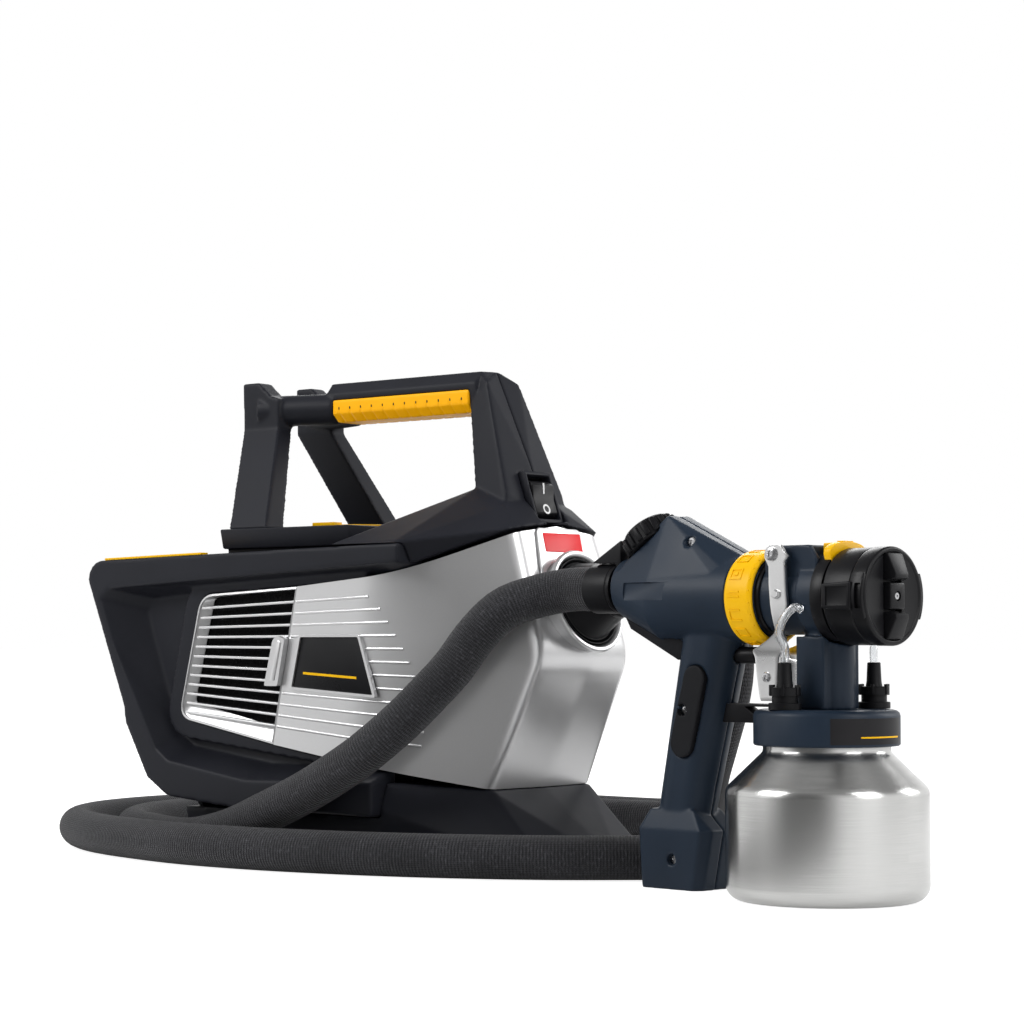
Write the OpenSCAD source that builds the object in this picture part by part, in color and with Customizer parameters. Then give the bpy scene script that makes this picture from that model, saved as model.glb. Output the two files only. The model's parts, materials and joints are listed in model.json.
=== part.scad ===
// Low-pressure paint sprayer: floor-standing air turbine, free hose and cup spray gun.
// Unit frame while modelling: +X is the front of the turbine case, +Y its left side, +Z up,
// with the case footprint centred on the origin. Gun frame: +X along the gun towards its nozzle.

/* [Turbine case] */
// Rearmost point of the side frames
rear_x = -250; // [-258:1:-244]
// Half width over the side frames
frame_half = 95; // [91:0.5:100]
// Depth from the silver cover's sides in to the walls of the side frames
frame_depth = 16; // [14:0.5:17]
// Thickness of the case walls
case_wall = 4; // [3:0.25:5]
// Height of the side frame's top edge at the rear
frame_top = 207; // [205:0.5:209]
// Rise of the top edge from the rear to the shoulder
frame_rise = 6; // [3:0.5:7]
// Height of the base tub under the side frames
tub_top = 34; // [28:0.5:35]
// Foremost point of the front foot
foot_x = 164; // [158:1:172]
// Thickness of the tub floor
tub_floor = 4; // [3:0.5:6]
// Radius of a rubber foot
foot_r = 11; // [8:0.5:13]
// How far a rubber foot stands below the tub
foot_drop = 2; // [1.5:0.25:3]
// Height of the storage tray's rim
tray_top = 227; // [225:0.5:229]
// Radius of the round storage lid
lid_r = 35; // [30:0.5:38]
// Thickness of the storage lid
lid_t = 3; // [2.5:0.25:4]

/* [Front cover] */
// Half width of the silver cover at its sides
cover_half = 86; // [83:0.5:90]
// Wall of the silver cover
cover_wall = 2.5; // [2:0.25:3]
// Foremost point of the nose crease
nose_x = 139; // [136:0.5:143]
// Height of the nose crease
nose_z = 140; // [134:1:146]
// Half width of the nose
nose_half = 48; // [44:0.5:52]
// Outer radius of the hose socket ring
socket_ring_r = 35; // [33:0.5:37]
// Bore radius of the hose socket
socket_r = 27; // [24:0.5:29]
// How far the socket tilts upwards
socket_tilt = 17.6; // [15:0.2:20]

/* [Side covers] */
// Thickness of a slatted side cover
vent_t = 6; // [5:0.25:6.5]
// Number of slats on a side cover
slat_count = 12; // [8:1:14]
// Height of one slat
slat_h = 1.7; // [1.2:0.1:2.2]
// Depth of one slat
slat_t = 3; // [2:0.25:4]
// Width of a side cover's rim
vent_rim = 5; // [4:0.25:7]
// Width of the dark frame round a side cover
vent_frame_w = 10; // [8:0.5:12]

/* [Handle] */
// Height of the carry handle's top
handle_top = 331; // [326:0.5:336]
// Half width of the handle bar
bar_half = 17; // [15:0.25:19]
// Height of the handle bar
bar_h = 28; // [25:0.5:30]
// Wall of the yellow grip inlay
grip_t = 2.5; // [2:0.25:3]
// Radius of the two arms behind the grip
arm_r = 11; // [9:0.25:12]
// Outer half width over the two prongs
prong_half = 34; // [32:0.5:36]
// Thickness of a prong
prong_t = 14; // [12:0.25:15]
// Half width of the power switch
switch_half = 11; // [9:0.25:12]
// Radius of the rocker's barrel
rocker_r = 13; // [12:0.25:14]

/* [Turbine] */
// Outer radius of the blower housing
blower_r = 56; // [50:0.5:60]
// Length of the blower housing
blower_len = 46; // [42:1:50]
// Radius of the motor can
motor_r = 40; // [34:0.5:44]
// Length of the motor can
motor_len = 58; // [50:1:66]
// Radius of the rotor shaft
shaft_r = 4; // [3:0.25:5]
// Outer radius of a shaft bearing
bearing_r = 11; // [10:0.25:12]
// Number of fan stages
stage_count = 2; // [1:1:3]
// Outer radius of the air duct
duct_r = 17; // [15:0.5:19]

/* [Spray gun] */
// Height of the gun's barrel axis
gun_z = 175; // [173:0.5:177]
// Radius of the gun's barrel
barrel_r = 26.5; // [25.5:0.25:27]
// Radius of the air passage in the gun
passage_r = 20; // [18:0.25:21]
// Outer radius of the lock ring
ring_r = 28; // [27.5:0.25:29.5]
// Length of the lock ring
ring_len = 20; // [18:0.5:21]
// Radius of the spray head behind the trigger
head_r = 22.5; // [21.5:0.25:22.75]
// Radius of the fluid needle
needle_r = 1.5; // [1.2:0.1:2]
// Outer radius of the air cap ring
cap_r = 28; // [27:0.25:30]
// Length of the air cap ring
cap_len = 30; // [27:0.5:31]
// Thickness of the trigger plate
trigger_t = 2.5; // [2:0.25:2.75]
// Radius of the trigger's pivot pin
pivot_r = 3; // [2.5:0.1:3.5]
// Radius of the airflow knob
knob_r = 19; // [17:0.5:20]
// Thickness of the airflow knob
knob_t = 12; // [10:0.5:13]

/* [Paint cup] */
// Outer radius of the cup
cup_r = 59; // [56:0.5:62]
// Height of the cup's straight wall
cup_wall_top = 62; // [58:0.5:66]
// Height at which the shoulder meets the neck
cup_neck_z = 86; // [84:0.5:88]
// Outer radius of the cup's neck
cup_neck_r = 37; // [35:0.25:38]
// Wall of the cup
cup_t = 1.5; // [1.2:0.1:2]
// Outer radius of the cup lid
cup_lid_r = 42.5; // [41:0.25:44]
// Height of the cup lid's top face
cup_lid_top = 110; // [109:0.5:112]
// Radius of the riser tube
riser_r = 4; // [3:0.25:5]
// Outer radius of a vent tube
vent_tube_r = 2.5; // [2:0.1:3]

/* [Hose] */
// Outer radius of the hose
hose_r = 14; // [13:0.25:14.5]
// Radius of the wide end of the hose's unit cuff
cuff_wide_r = 26.5; // [22:0.25:26.5]
// Length of the unit cuff outside the socket
cuff_len = 40; // [36:1:44]
// Outer radius of the gun cuff
gun_cuff_r = 15.5; // [15:0.25:16.5]

/* [Clearances] */
// Gap between pieces that move on each other
gap = 0.4; // [0.3:0.05:0.5]
// Radial gap of a shaft in its bearing
fit = 0.05; // [0.02:0.01:0.1]
// Gap between fixed pieces that are let into each other
seat = 0.1; // [0.05:0.05:0.2]

/* [Hidden] */

charcoal = "#2c2d32";
silver = "#c8c9cb";
grip_yellow = "#f3ac1b";
ring_yellow = "#ffd21f";
slate = "#33404f";
black = "#17181b";
rubber_black = "#232427";
steel = "#b9bcc0";

$fn = 64;
round_fn = 32;
far = 400;
tiny = 0.01;

// ---------- places of the case ----------
wall_half = cover_half - frame_depth;
frame_front_x = 52;
frame_end_x = 36;
foot_rear_x = 30;
frame_front_top = frame_top + frame_rise;
tray_rear_x = -131;
shoulder_x = -8;
deck_z = frame_top - case_wall;
lid_x = -70;
well_depth = 18;
tray_half = 75;
tray_foot_z = frame_front_top + gap;
vent_out = cover_half;
vent_in = cover_half - vent_t;

gun_x = 357;
gun_y = -58.6;
gun_yaw = -4;
centre_x = (gun_x + cup_r + rear_x) / 2;
centre_y = (gun_y - cup_r + frame_half) / 2;

// ---------- shared helpers ----------
function arc(cx, cz, r, from, to, steps) =
    [for (i = [0:steps]) let (a = from + (to - from) * i / steps)
        [cx + r * cos(a), cz + r * sin(a)]];

function turn_left(v) = [-v[1], v[0]];
function edge_dir(a, b) = (b - a) / norm(b - a);

// Moves every edge of a counter-clockwise outline inwards by w.
function inset(pts, w) = let (n = len(pts))
    [for (i = [0:n - 1]) let (
        before = turn_left(edge_dir(pts[(i + n - 1) % n], pts[i])),
        after = turn_left(edge_dir(pts[i], pts[(i + 1) % n])))
        pts[i] + w * (before + after) / (1 + before * after)];

module unit(paint) {
    color(paint) translate([-centre_x, -centre_y, 0]) children();
}

module gun(paint) {
    color(paint) translate([gun_x - centre_x, gun_y - centre_y, 0])
        rotate([0, 0, gun_yaw]) children();
}

// Extrudes an outline drawn in X and Z from y0 to y1.
module slab_y(pts, y0, y1) {
    translate([0, y1, 0]) rotate([90, 0, 0]) linear_extrude(y1 - y0) polygon(pts);
}

// Extrudes an outline drawn in Y and Z from x0 to x1.
module slab_x(pts, x0, x1) {
    translate([x0, 0, 0]) rotate([90, 0, 90]) linear_extrude(x1 - x0) polygon(pts);
}

// Extrudes an outline drawn in X and Y from z0 to z1.
module slab_z(pts, z0, z1) {
    translate([0, 0, z0]) linear_extrude(z1 - z0) polygon(pts);
}

// Convex solid through its corner points.
module corners(pts) {
    hull() polyhedron(points = pts, faces = [[for (i = [0:len(pts) - 1]) i]]);
}

module rod_x(r, x0, x1) {
    translate([x0, 0, 0]) rotate([0, 90, 0]) cylinder(r = r, h = x1 - x0);
}

module rod_y(r, y0, y1) {
    translate([0, y1, 0]) rotate([90, 0, 0]) cylinder(r = r, h = y1 - y0);
}

module tube_x(r_out, r_in, x0, x1) {
    difference() {
        rod_x(r_out, x0, x1);
        rod_x(r_in, x0 - 1, x1 + 1);
    }
}

module left_side(is_left) {
    mirror([0, is_left ? 0 : 1, 0]) children();
}

module left_half_space() {
    translate([-far, 0, -far]) cube([3 * far, far, 3 * far]);
}

// ---------- side frames ----------
rear_corner_r = 14;
frame_outline = concat(
    [[-160, 41], [-100, tub_top + 2], [foot_rear_x - gap, tub_top + 1],
        [foot_rear_x - gap, 66], [frame_end_x, 68], [frame_end_x, 195],
        [frame_front_x, 199.5], [frame_front_x, frame_front_top]],
    arc(rear_x + rear_corner_r, frame_top - rear_corner_r, rear_corner_r, 90, 180, 6),
    [[-211, 104], [-209, 92], [-186, 54], [-166, 42]]);

recess_rim = [[-237, 180], [-224, 150], [-194, 104], [-177, 74], [-165, 66], [-89, 55],
    [36, 57], [60, 60], [60, 201], [frame_front_x, 199], [-40, 192], [-228, 187]];
recess_floor = [[-208, 172], [-200, 150], [-184, 110], [-170, 84], [-158, 76],
    [-80, 66], [60, 66], [60, 193], [-60, 190], [-200, 180]];

vent_outline = concat(
    [[-69, 79.4], [-47, 186]],
    arc(-133.5, 172, 10, 97, 172, 3),
    arc(-151, 104, 10, 175, 262, 3));
vent_frame_outline = concat(
    [[20, 63], [20, 66.5], [-69, 79.4], [-47, 186], [14, 190.5], [14, 194.5]],
    arc(-142, 172, 18, 95, 170, 3),
    arc(-158, 101, 19, 178, 260, 3));
window = [[-74, 96], [-58, 168], [-132, 164], [-146, 108]];

module side_frame(is_left) {
    left_side(is_left) difference() {
        slab_y(frame_outline, wall_half, frame_half);
        hull() {
            slab_y(recess_rim, frame_half, frame_half + 1);
            slab_y(recess_floor, wall_half + case_wall, wall_half + case_wall + tiny);
        }
        slab_y(window, wall_half - 1, wall_half + case_wall + 1);
    }
    left_side(is_left) difference() {
        slab_y(vent_frame_outline, wall_half + case_wall, vent_in + 3);
        slab_y(inset(vent_outline, -gap), wall_half, frame_half);
    }
}

module side_frame_right() {
    unit(charcoal) side_frame(false);
}

module side_frame_left() {
    unit(charcoal) side_frame(true);
}

// ---------- base ----------
foot_z = 53;
module base_shape(trim) {
    w = frame_half - 11 - trim;
    corners([for (s = [-1, 1]) each [
        [-164 + trim, s * (w - 6), tub_top], [-160 + trim, s * (w - 8), foot_drop + trim],
        [30, s * (w + 2), tub_top], [30, s * (w - 2), foot_drop + trim]]]);
}

module foot_shape(trim) {
    w = nose_half - trim;
    corners([for (s = [-1, 1]) each [
        [foot_rear_x - trim, s * (w + 33), 57 - trim], [foot_rear_x - trim, s * (w + 39), 40],
        [foot_rear_x - trim, s * (w + 34), foot_drop + trim],
        [95 - trim, s * (w + 3), foot_z - trim], [90 - trim, s * (w + 14), 40 - trim],
        [148 - trim, s * (w + 6), foot_drop + trim],
        [98.5 - trim, 0, foot_z - trim], [foot_x - trim, 0, foot_drop + trim]]]);
}

module base_pan() {
    unit(charcoal) difference() {
        union() {
            base_shape(0);
            foot_shape(0);
        }
        translate([-150, -60, foot_drop + tub_floor]) cube([182, 120, 60]);
        foot_shape(case_wall);
        feet_places() cylinder(r = foot_r + seat, h = 2 * foot_drop);
        feet_places() cylinder(r = 4 + seat, h = 2 * foot_drop + 6 + seat);
    }
}

module feet_places() {
    for (x = [-140, 118]) {
        for (s = [-1, 1]) {
            translate([x, s * (x < 0 ? 62 : 44), 0]) children();
        }
    }
}

module rubber_feet() {
    unit(rubber_black) feet_places() cylinder(r = foot_r, h = 2 * foot_drop);
}

// ---------- rear panel and deck ----------
rear_outline = [[-236, frame_top - rear_corner_r], [-203, 106], [-178, 56],
    [-158, tub_top + tiny], [-158 + case_wall, tub_top + tiny], [-174 + case_wall, 56], [-199 + case_wall, 106],
    [-226 + case_wall, deck_z - 8], [-226 + case_wall, deck_z], [-232, deck_z]];
inlet_z = 80;
inlet_x = -193;
inlet_half = 14;

module rear_slots() {
    for (i = [0:7]) {
        translate([-240, -45, 118 + i * 9]) cube([60, 90, 3.5]);
    }
}

module rear_panel() {
    unit(charcoal) difference() {
        slab_y(rear_outline, -wall_half, wall_half);
        rear_slots();
        translate([inlet_x, 0, inlet_z]) rod_x(9, -inlet_half, inlet_half);
    }
}

module cord_inlet() {
    unit(black) translate([inlet_x, 0, inlet_z]) difference() {
        union() {
            rod_x(9 - seat, 1 - inlet_half, inlet_half);
            rod_x(13, -inlet_half, -4);
        }
        rod_x(4.5, -2 * inlet_half, 2 * inlet_half);
    }
}

module top_deck() {
    unit(charcoal) difference() {
        union() {
            translate([-232, -wall_half, deck_z])
                cube([232 + shoulder_x, 2 * wall_half, frame_front_top - 5 - deck_z]);
            slab_x([[-wall_half, deck_z + 1], [wall_half, deck_z + 1],
                [wall_half, tray_foot_z], [tray_half, tray_foot_z], [tray_half + 3, tray_top],
                [-tray_half - 3, tray_top], [-tray_half, tray_foot_z],
                [-wall_half, tray_foot_z]], tray_rear_x, shoulder_x);
            translate([tray_rear_x - 7, -tray_half + 6, tray_top - 4])
                cube([20, 2 * tray_half - 12, 4]);
        }
        translate([lid_x, 0, tray_top - well_depth]) cylinder(r = lid_r - 4, h = far);
        translate([lid_x, 0, tray_top - lid_t]) cylinder(r = lid_r + gap, h = far);
    }
}

module storage_lid() {
    unit(charcoal) translate([lid_x, 0, tray_top]) difference() {
        translate([0, 0, -lid_t + gap]) cylinder(r = lid_r, h = lid_t + 1);
        translate([0, 0, -lid_t / 2]) cylinder(r = lid_r - 8, h = lid_t * 3);
    }
    unit(charcoal) translate([lid_x, 0, tray_top - lid_t + gap])
        cylinder(r = lid_r - 7, h = lid_t / 2);
    unit(charcoal) translate([lid_x - lid_r + 7, -4, tray_top - lid_t + gap])
        cube([2 * lid_r - 14, 8, lid_t + 1]);
}

module lid_ring() {
    unit(ring_yellow) translate([lid_x, 0, tray_top + 1 + gap]) {
        difference() {
            cylinder(r = lid_r, h = 1.6);
            translate([0, 0, -1]) cylinder(r = lid_r - 5, h = 4);
        }
        for (s = [-1, 1]) {
            translate([-10, s > 0 ? lid_r - 6 : -lid_r - 3, 0]) cube([20, 9, 3.2]);
        }
    }
}

module deck_strips() {
    slope = frame_rise / (frame_front_x - rear_x - rear_corner_r);
    function top_at(x) = frame_top + (x - rear_x - rear_corner_r) * slope;
    unit(ring_yellow) for (is_left = [false, true]) {
        left_side(is_left) slab_y([[-234, top_at(-234)], [-134, top_at(-134)],
            [-134, top_at(-134) + 1.6], [-234, top_at(-234) + 1.6]],
            frame_half - 9, frame_half - 2);
    }
}

// ---------- silver front cover ----------
module shroud_shape(grow) {
    w = grow;
    corners([for (s = [-1, 1]) each [
        [-47 - w, s * (cover_half + w), 186 + w], [-69 - w, s * (cover_half + w), 79.4 - w],
        [14, s * (cover_half + w), 191.5 + w], [46 + w, s * (cover_half - 1 + w), 194 + w],
        [30 + w, s * (cover_half - 1 + w), 65 - w],
        [108 + w, s * (nose_half - 6 + w), 220 + w],
        [nose_x - 6 + w, s * (nose_half + w), nose_z],
        [94.5 + w, s * (nose_half + 4 + w), foot_z - w + 0.5],
        [108 + w, s * 12, 225 + w], [nose_x + w, 0, nose_z],
        [98 + w, 0, foot_z - w + 0.5]]]);
}

socket_x = 126;
socket_z = 173;
module at_socket() {
    translate([socket_x, 0, socket_z]) rotate([0, -socket_tilt, 0]) children();
}

plate_up = 48.2;
module red_plate_shape(grow, depth) {
    at_socket() translate([-depth, -14 - grow, plate_up - 7 - grow])
        cube([depth + 0.6, 28 + 2 * grow, 14 + 2 * grow]);
}

module front_shroud() {
    unit(silver) difference() {
        shroud_shape(0);
        difference() {
            shroud_shape(-cover_wall);
            at_socket() rod_x(socket_ring_r + 4, -8, 20);
        }
        rear_opening();
        at_socket() rod_x(socket_ring_r - 3, -30, 30);
        red_plate_shape(seat, 1);
        for (is_left = [false, true]) {
            left_side(is_left) slab_y(plate_outline, cover_half - 1, cover_half + 2);
        }
    }
}

// Clears the cover's open rear, where the side frames and the vent covers stand.
module rear_opening() {
    w = cover_half - cover_wall;
    translate([-90, -w, 55]) cube([90 + frame_end_x + gap, 2 * w, 150]);
    translate([0, -w, 194.6]) cube([frame_front_x + gap, 2 * w, 30]);
    slab_y(inset(vent_outline, -gap), -far, far);
}

module red_plate() {
    unit("#e5353b") red_plate_shape(0, 1);
}

plate_outline = [[-50, 118.5], [24.4, 114], [10.9, 152], [-42, 152]];
module name_plates() {
    unit("#1e1f23") for (is_left = [false, true]) {
        left_side(is_left) slab_y(inset(plate_outline, seat), cover_half - 1, cover_half + 1);
    }
}

module socket_ring() {
    unit(silver) at_socket() tube_x(socket_ring_r - 3 - seat, socket_r + 2.6, -7, 8);
    unit(silver) at_socket() tube_x(socket_ring_r, socket_r + 2.6, 7, 10);
}

module socket_sleeve() {
    unit(black) at_socket() tube_x(socket_r + 2.5, socket_r, -38, 8.5);
}

// ---------- carry handle ----------
bar_bottom = handle_top - bar_h;
grip_split = handle_top - 12.5;
bar_rear_x = -88;
bar_front_x = 52;
grip_rear_x = -80;
grip_front_x = 46;

function bar_section(half, low) = [[0, low], [half - 6, low], [half - 1, low + 5],
    [half, grip_split - 2], [half, handle_top - 8], [half - 6, handle_top], [0, handle_top]];
function core_section(half, low) = [[0, low], [half - 6, low], [half - 1, low + 5],
    [half, grip_split], [0, grip_split]];

module bar_half_solid() {
    slab_x(bar_section(bar_half, bar_bottom), bar_rear_x, grip_rear_x);
    slab_x(bar_section(bar_half, bar_bottom), grip_front_x, bar_front_x);
    difference() {
        slab_x(bar_section(bar_half, bar_bottom), grip_rear_x, grip_front_x);
        slab_x([[-1, bar_bottom - 1], [bar_half + 1, bar_bottom - 1],
            [bar_half + 1, grip_split], [-1, grip_split]], grip_rear_x, grip_front_x);
    }
    slab_x(core_section(bar_half - grip_t, bar_bottom + grip_t), grip_rear_x, grip_front_x);
}

// Post between the switch face and the hand opening.
module post_half() {
    corners([[60, 0, 250], [60, 27, 250], [93, 0, 249], [90, 29, 247], [100.6, 0, 226],
        [92, 33, 228], [87.7, 0, 263], [82, 26, 263], [47, 0, handle_top - 24],
        [47, bar_half, handle_top - 24], [50, bar_half - 6, handle_top],
        [56.3, 0, handle_top], [62, bar_half, handle_top - 8], [50, 0, handle_top]]);
}

// Saddle that carries the post down onto the deck and the silver cover.
module shoulder_half() {
    x = shoulder_x + tiny;
    corners([[x, 0, 203], [x, 0, 228], [x, 40, 228],
        [x, frame_half, frame_front_top], [x, frame_half, 206],
        [48, frame_half, frame_front_top], [46, cover_half + 2, 197], [62, 0, 251], [62, 27, 251],
        [95, 0, 245], [93, 34, 238], [101, 0, 226.5], [108, 34, 224], [109, 12, 226],
        [106, 46, 222], [90, 0, 226]]);
}

module arm_half() {
    from = [-83.3, 9];
    to = [-140, prong_half - 7];
    reach = norm(to - from);
    heading = atan2(to[1] - from[1], to[0] - from[0]);
    translate([from[0], from[1], handle_top - 18]) rotate([0, 0, heading])
        rod_x(arm_r, 0, reach);
}

module prong_half_solid() {
    slab_y([[-118, handle_top - 31], [-118, handle_top - 10], [-127, handle_top - 7.5],
        [-139, handle_top + 2.5], [-154, handle_top + 2.5], [-153, handle_top - 31]],
        prong_half - prong_t, prong_half);
}

module leg_half() {
    corners([[-153, prong_half, handle_top - 31], [-153, prong_half - prong_t, handle_top - 31],
        [-118, prong_half, handle_top - 31], [-118, prong_half - prong_t, handle_top - 31],
        [-128, 72, tray_top + tiny], [-128, 54, tray_top + tiny],
        [-92, 72, tray_top + tiny], [-92, 54, tray_top + tiny]]);
}

switch_x = 94.5;
switch_z = 244;
switch_lean = 19;
module at_switch() {
    translate([switch_x, 0, switch_z]) rotate([0, -switch_lean, 0]) children();
}

module handle_half_solid() {
    difference() {
        union() {
            bar_half_solid();
            post_half();
            shoulder_half();
            arm_half();
            prong_half_solid();
            leg_half();
        }
        shroud_shape(seat);
        translate([shoulder_x, -1, 0]) cube([44, wall_half + 1, frame_front_top - 5]);
        side_top_cut();
        at_switch() bezel_block(seat);
        at_switch() translate([-20, -1, -bezel_up]) cube([22, switch_half + 3, 2 * bezel_up]);
        at_switch() translate([0, -1, -bezel_up - bezel_wall - seat])
            cube([far, switch_half + bezel_wall + seat + 1, 2 * (bezel_up + bezel_wall + seat)]);
    }
}

// Leaves room for the side frame's top band under the shoulder.
module side_top_cut() {
    slab_y([[shoulder_x - 1, 180], [frame_front_x + seat, 180],
        [frame_front_x + seat, frame_front_top], [shoulder_x - 1, frame_front_top]],
        wall_half, far);
}

module handle_right() {
    unit(charcoal) mirror([0, 1, 0]) intersection() {
        handle_half_solid();
        left_half_space();
    }
}

module handle_left() {
    unit(charcoal) intersection() {
        handle_half_solid();
        left_half_space();
    }
}

module grip_inlay() {
    unit(grip_yellow) for (is_left = [false, true]) {
        left_side(is_left) difference() {
            slab_x([[0, bar_bottom], [bar_half - 5, bar_bottom], [bar_half + 1, bar_bottom + 6],
                [bar_half + 1, grip_split], [0, grip_split]], grip_rear_x, grip_front_x);
            slab_x(core_section(bar_half - grip_t + tiny, bar_bottom + grip_t - tiny),
                grip_rear_x - 1, grip_front_x + 1);
        }
    }
}

// ---------- power switch ----------
bezel_wall = 3;
bezel_up = 15.5;
module bezel_block(grow) {
    translate([-4 - grow, -switch_half - bezel_wall - grow, -bezel_up - bezel_wall - grow])
        cube([7 + grow, 2 * (switch_half + bezel_wall + grow),
            2 * (bezel_up + bezel_wall + grow)]);
}

module switch_bezel() {
    unit(charcoal) at_switch() difference() {
        bezel_block(0);
        translate([-10, -switch_half - gap, -bezel_up]) cube([30, 2 * (switch_half + gap), 2 * bezel_up]);
    }
}

rocker_pivot = -8;
rocker_tilt = 8;
module rocker() {
    unit(black) at_switch() translate([rocker_pivot, 0, 0]) rotate([0, rocker_tilt, 0])
        intersection() {
            rod_y(rocker_r + 2, -switch_half, switch_half);
            slab_y([[-4, -rocker_r], [12.5, -rocker_r], [10.5, 0], [12.5, rocker_r],
                [-4, rocker_r]], -switch_half - 1, switch_half + 1);
        }
}

// ---------- slatted side covers ----------
function lerp(a, b, t) = a + (b - a) * t;

module vent_cover(is_left) {
    rim = inset(vent_outline, vent_rim);
    left_side(is_left) {
        difference() {
            slab_y(vent_outline, vent_in, vent_out);
            slab_y(rim, vent_in - 1, vent_out + 1);
        }
        intersection() {
            slab_y(inset(vent_outline, vent_rim / 2), vent_in, vent_out);
            for (i = [0:slat_count - 1]) {
                t = i / (slat_count - 1);
                z_rear = lerp(171, 101, t);
                z_seam = lerp(176, 90, t);
                slab_y([[-168, z_rear - slat_h / 2], [-45, z_seam - slat_h / 2],
                    [-45, z_seam + slat_h / 2], [-168, z_rear + slat_h / 2]],
                    vent_out - slat_t, vent_out);
            }
        }
    }
}

module vent_cover_right() {
    unit(silver) vent_cover(false);
}

module vent_cover_left() {
    unit(silver) vent_cover(true);
}

clip_outline = [[-74, 119], [-61.4, 119], [-54.6, 151], [-62, 153], [-66, 150]];
module clip(is_left) {
    left_side(is_left) difference() {
        slab_y(clip_outline, vent_out + tiny, vent_out + 5);
        slab_y([[-67.5, 125], [-63.5, 125], [-58.5, 146], [-61.5, 146]], vent_out + 2, far);
    }
}

module clip_right() {
    unit(silver) clip(false);
}

module clip_left() {
    unit(silver) clip(true);
}

module filter_foams() {
    unit("#1b1b1e") for (is_left = [false, true]) {
        left_side(is_left) slab_y(inset(vent_outline, 1), wall_half + case_wall, vent_in - gap);
    }
}

// ---------- turbine inside the case ----------
axis_z = 122;
blower_x = -18;
blower_wall = 2.5;
motor_x = blower_x - motor_len - 4;
stage_pitch = (blower_len - 10) / stage_count;

module blower_housing() {
    unit(black) translate([0, 0, axis_z]) difference() {
        rod_x(blower_r, blower_x, blower_x + blower_len);
        rod_x(blower_r - blower_wall, blower_x + blower_wall, blower_x + blower_len - blower_wall);
        rod_x(bearing_r + fit, blower_x - 1, blower_x + blower_wall + 1);
        rod_x(duct_r - 1.5, blower_x + 10, blower_x + blower_len + 1);
    }
}

module motor_can() {
    unit(steel) translate([0, 0, axis_z]) {
        difference() {
            rod_x(motor_r, motor_x, motor_x + motor_len);
            rod_x(motor_r - 2, motor_x + 2, motor_x + motor_len - 2);
            rod_x(bearing_r + fit, motor_x - 1, motor_x + 9);
            rod_x(shaft_r + 3, motor_x, motor_x + motor_len + 1);
        }
        tube_x(motor_r - 2, motor_r - 12, motor_x + 14, motor_x + motor_len - 10);
    }
}

module impellers() {
    unit(steel) translate([0, 0, axis_z]) for (i = [0:stage_count - 1]) {
        x = blower_x + 12 + i * stage_pitch;
        difference() {
            union() {
                rod_x(blower_r - 6, x, x + 1.5);
                rod_x(shaft_r + 4, x, x + 8);
                intersection() {
                    rod_x(blower_r - 6, x, x + 7);
                    for (k = [0:8]) {
                        rotate([k * 40, 0, 0]) translate([x, 8, -0.6]) cube([7, blower_r, 1.2]);
                    }
                }
            }
            rod_x(shaft_r, x - 1, x + 20);
        }
    }
}

module rotor_shaft() {
    unit(steel) translate([0, 0, axis_z]) {
        rod_x(shaft_r, motor_x + 1, blower_x + blower_len - 8);
        rod_x(motor_r - 13, motor_x + 16, motor_x + motor_len - 12);
    }
}

module bearings() {
    unit(steel) translate([0, 0, axis_z]) {
        tube_x(bearing_r, shaft_r + fit, motor_x + 1, motor_x + 8);
        tube_x(bearing_r, shaft_r + fit, blower_x - 3, blower_x + 3);
    }
}

module mount_bushes() {
    unit(rubber_black) {
        for (s = [-1, 1]) {
            translate([blower_x + blower_len / 2, s * 36, foot_drop + tub_floor])
                cylinder(r = 7, h = axis_z - foot_drop - tub_floor - sqrt(blower_r ^ 2 - 29 ^ 2));
        }
        translate([motor_x + 20, 0, foot_drop + tub_floor]) difference() {
            cylinder(r = 9, h = axis_z - motor_r + 2 - foot_drop - tub_floor);
            translate([0, 0, axis_z - foot_drop - tub_floor]) rod_x(motor_r, -20, 20);
        }
    }
}

module outlet_duct() {
    unit(black) {
        translate([0, 0, axis_z]) tube_x(duct_r, duct_r - 2, blower_x + blower_len, 62);
        difference() {
            duct_elbow(duct_r, 0);
            duct_elbow(duct_r - 2, 1);
        }
    }
}

module duct_elbow(r, over) {
    hull() {
        translate([0, 0, axis_z]) rod_x(r, 62 - over, 62.5);
        at_socket() rod_x(r + 8, -39, -38 + over);
    }
}

module case_screws() {
    unit(steel) feet_places() translate([0, 0, 2 * foot_drop]) cylinder(r = 4, h = 6);
}

// ---------- spray gun body ----------
body_front = -55;
body_rear = -152;
inlet_up = 7;
grip_lean = 13.5;

module at_axis() {
    translate([0, 0, gun_z]) children();
}

barrel_rear = -118;
module gun_barrel_shape() {
    at_axis() rod_x(barrel_r, barrel_rear, body_front);
    at_axis() rotate([0, 90, 0]) hull() {
        translate([0, 0, barrel_rear]) cylinder(r = barrel_r - seat, h = 1, $fn = round_fn);
        translate([-inlet_up, 0, body_rear]) cylinder(r = barrel_r - 8, h = 2, $fn = round_fn);
    }
}

module gun_roof_shape() {
    corners([for (s = [-1, 1]) each [
        [-112, s * 10, gun_z + 51], [-72, s * 9, gun_z + 31], [body_front - 1, s * 8, gun_z + 25],
        [body_rear, s * 8, gun_z + 21], [body_rear, s * 18, gun_z + 12],
        [-70, s * 22, gun_z + 15], [body_front - 1, s * 20, gun_z + 14],
        [-118, s * 25, gun_z + 8]]]);
}

module stadium(z, x0, x1, r) {
    for (x = [x0 + r, x1 - r]) translate([x, 0, z]) cylinder(r = r, h = 1, $fn = round_fn);
}

module gun_grip_shape() {
    hull() {
        stadium(gun_z - 22, -103, -60, 16);
        stadium(36, -126, -89, 13);
    }
}

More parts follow.
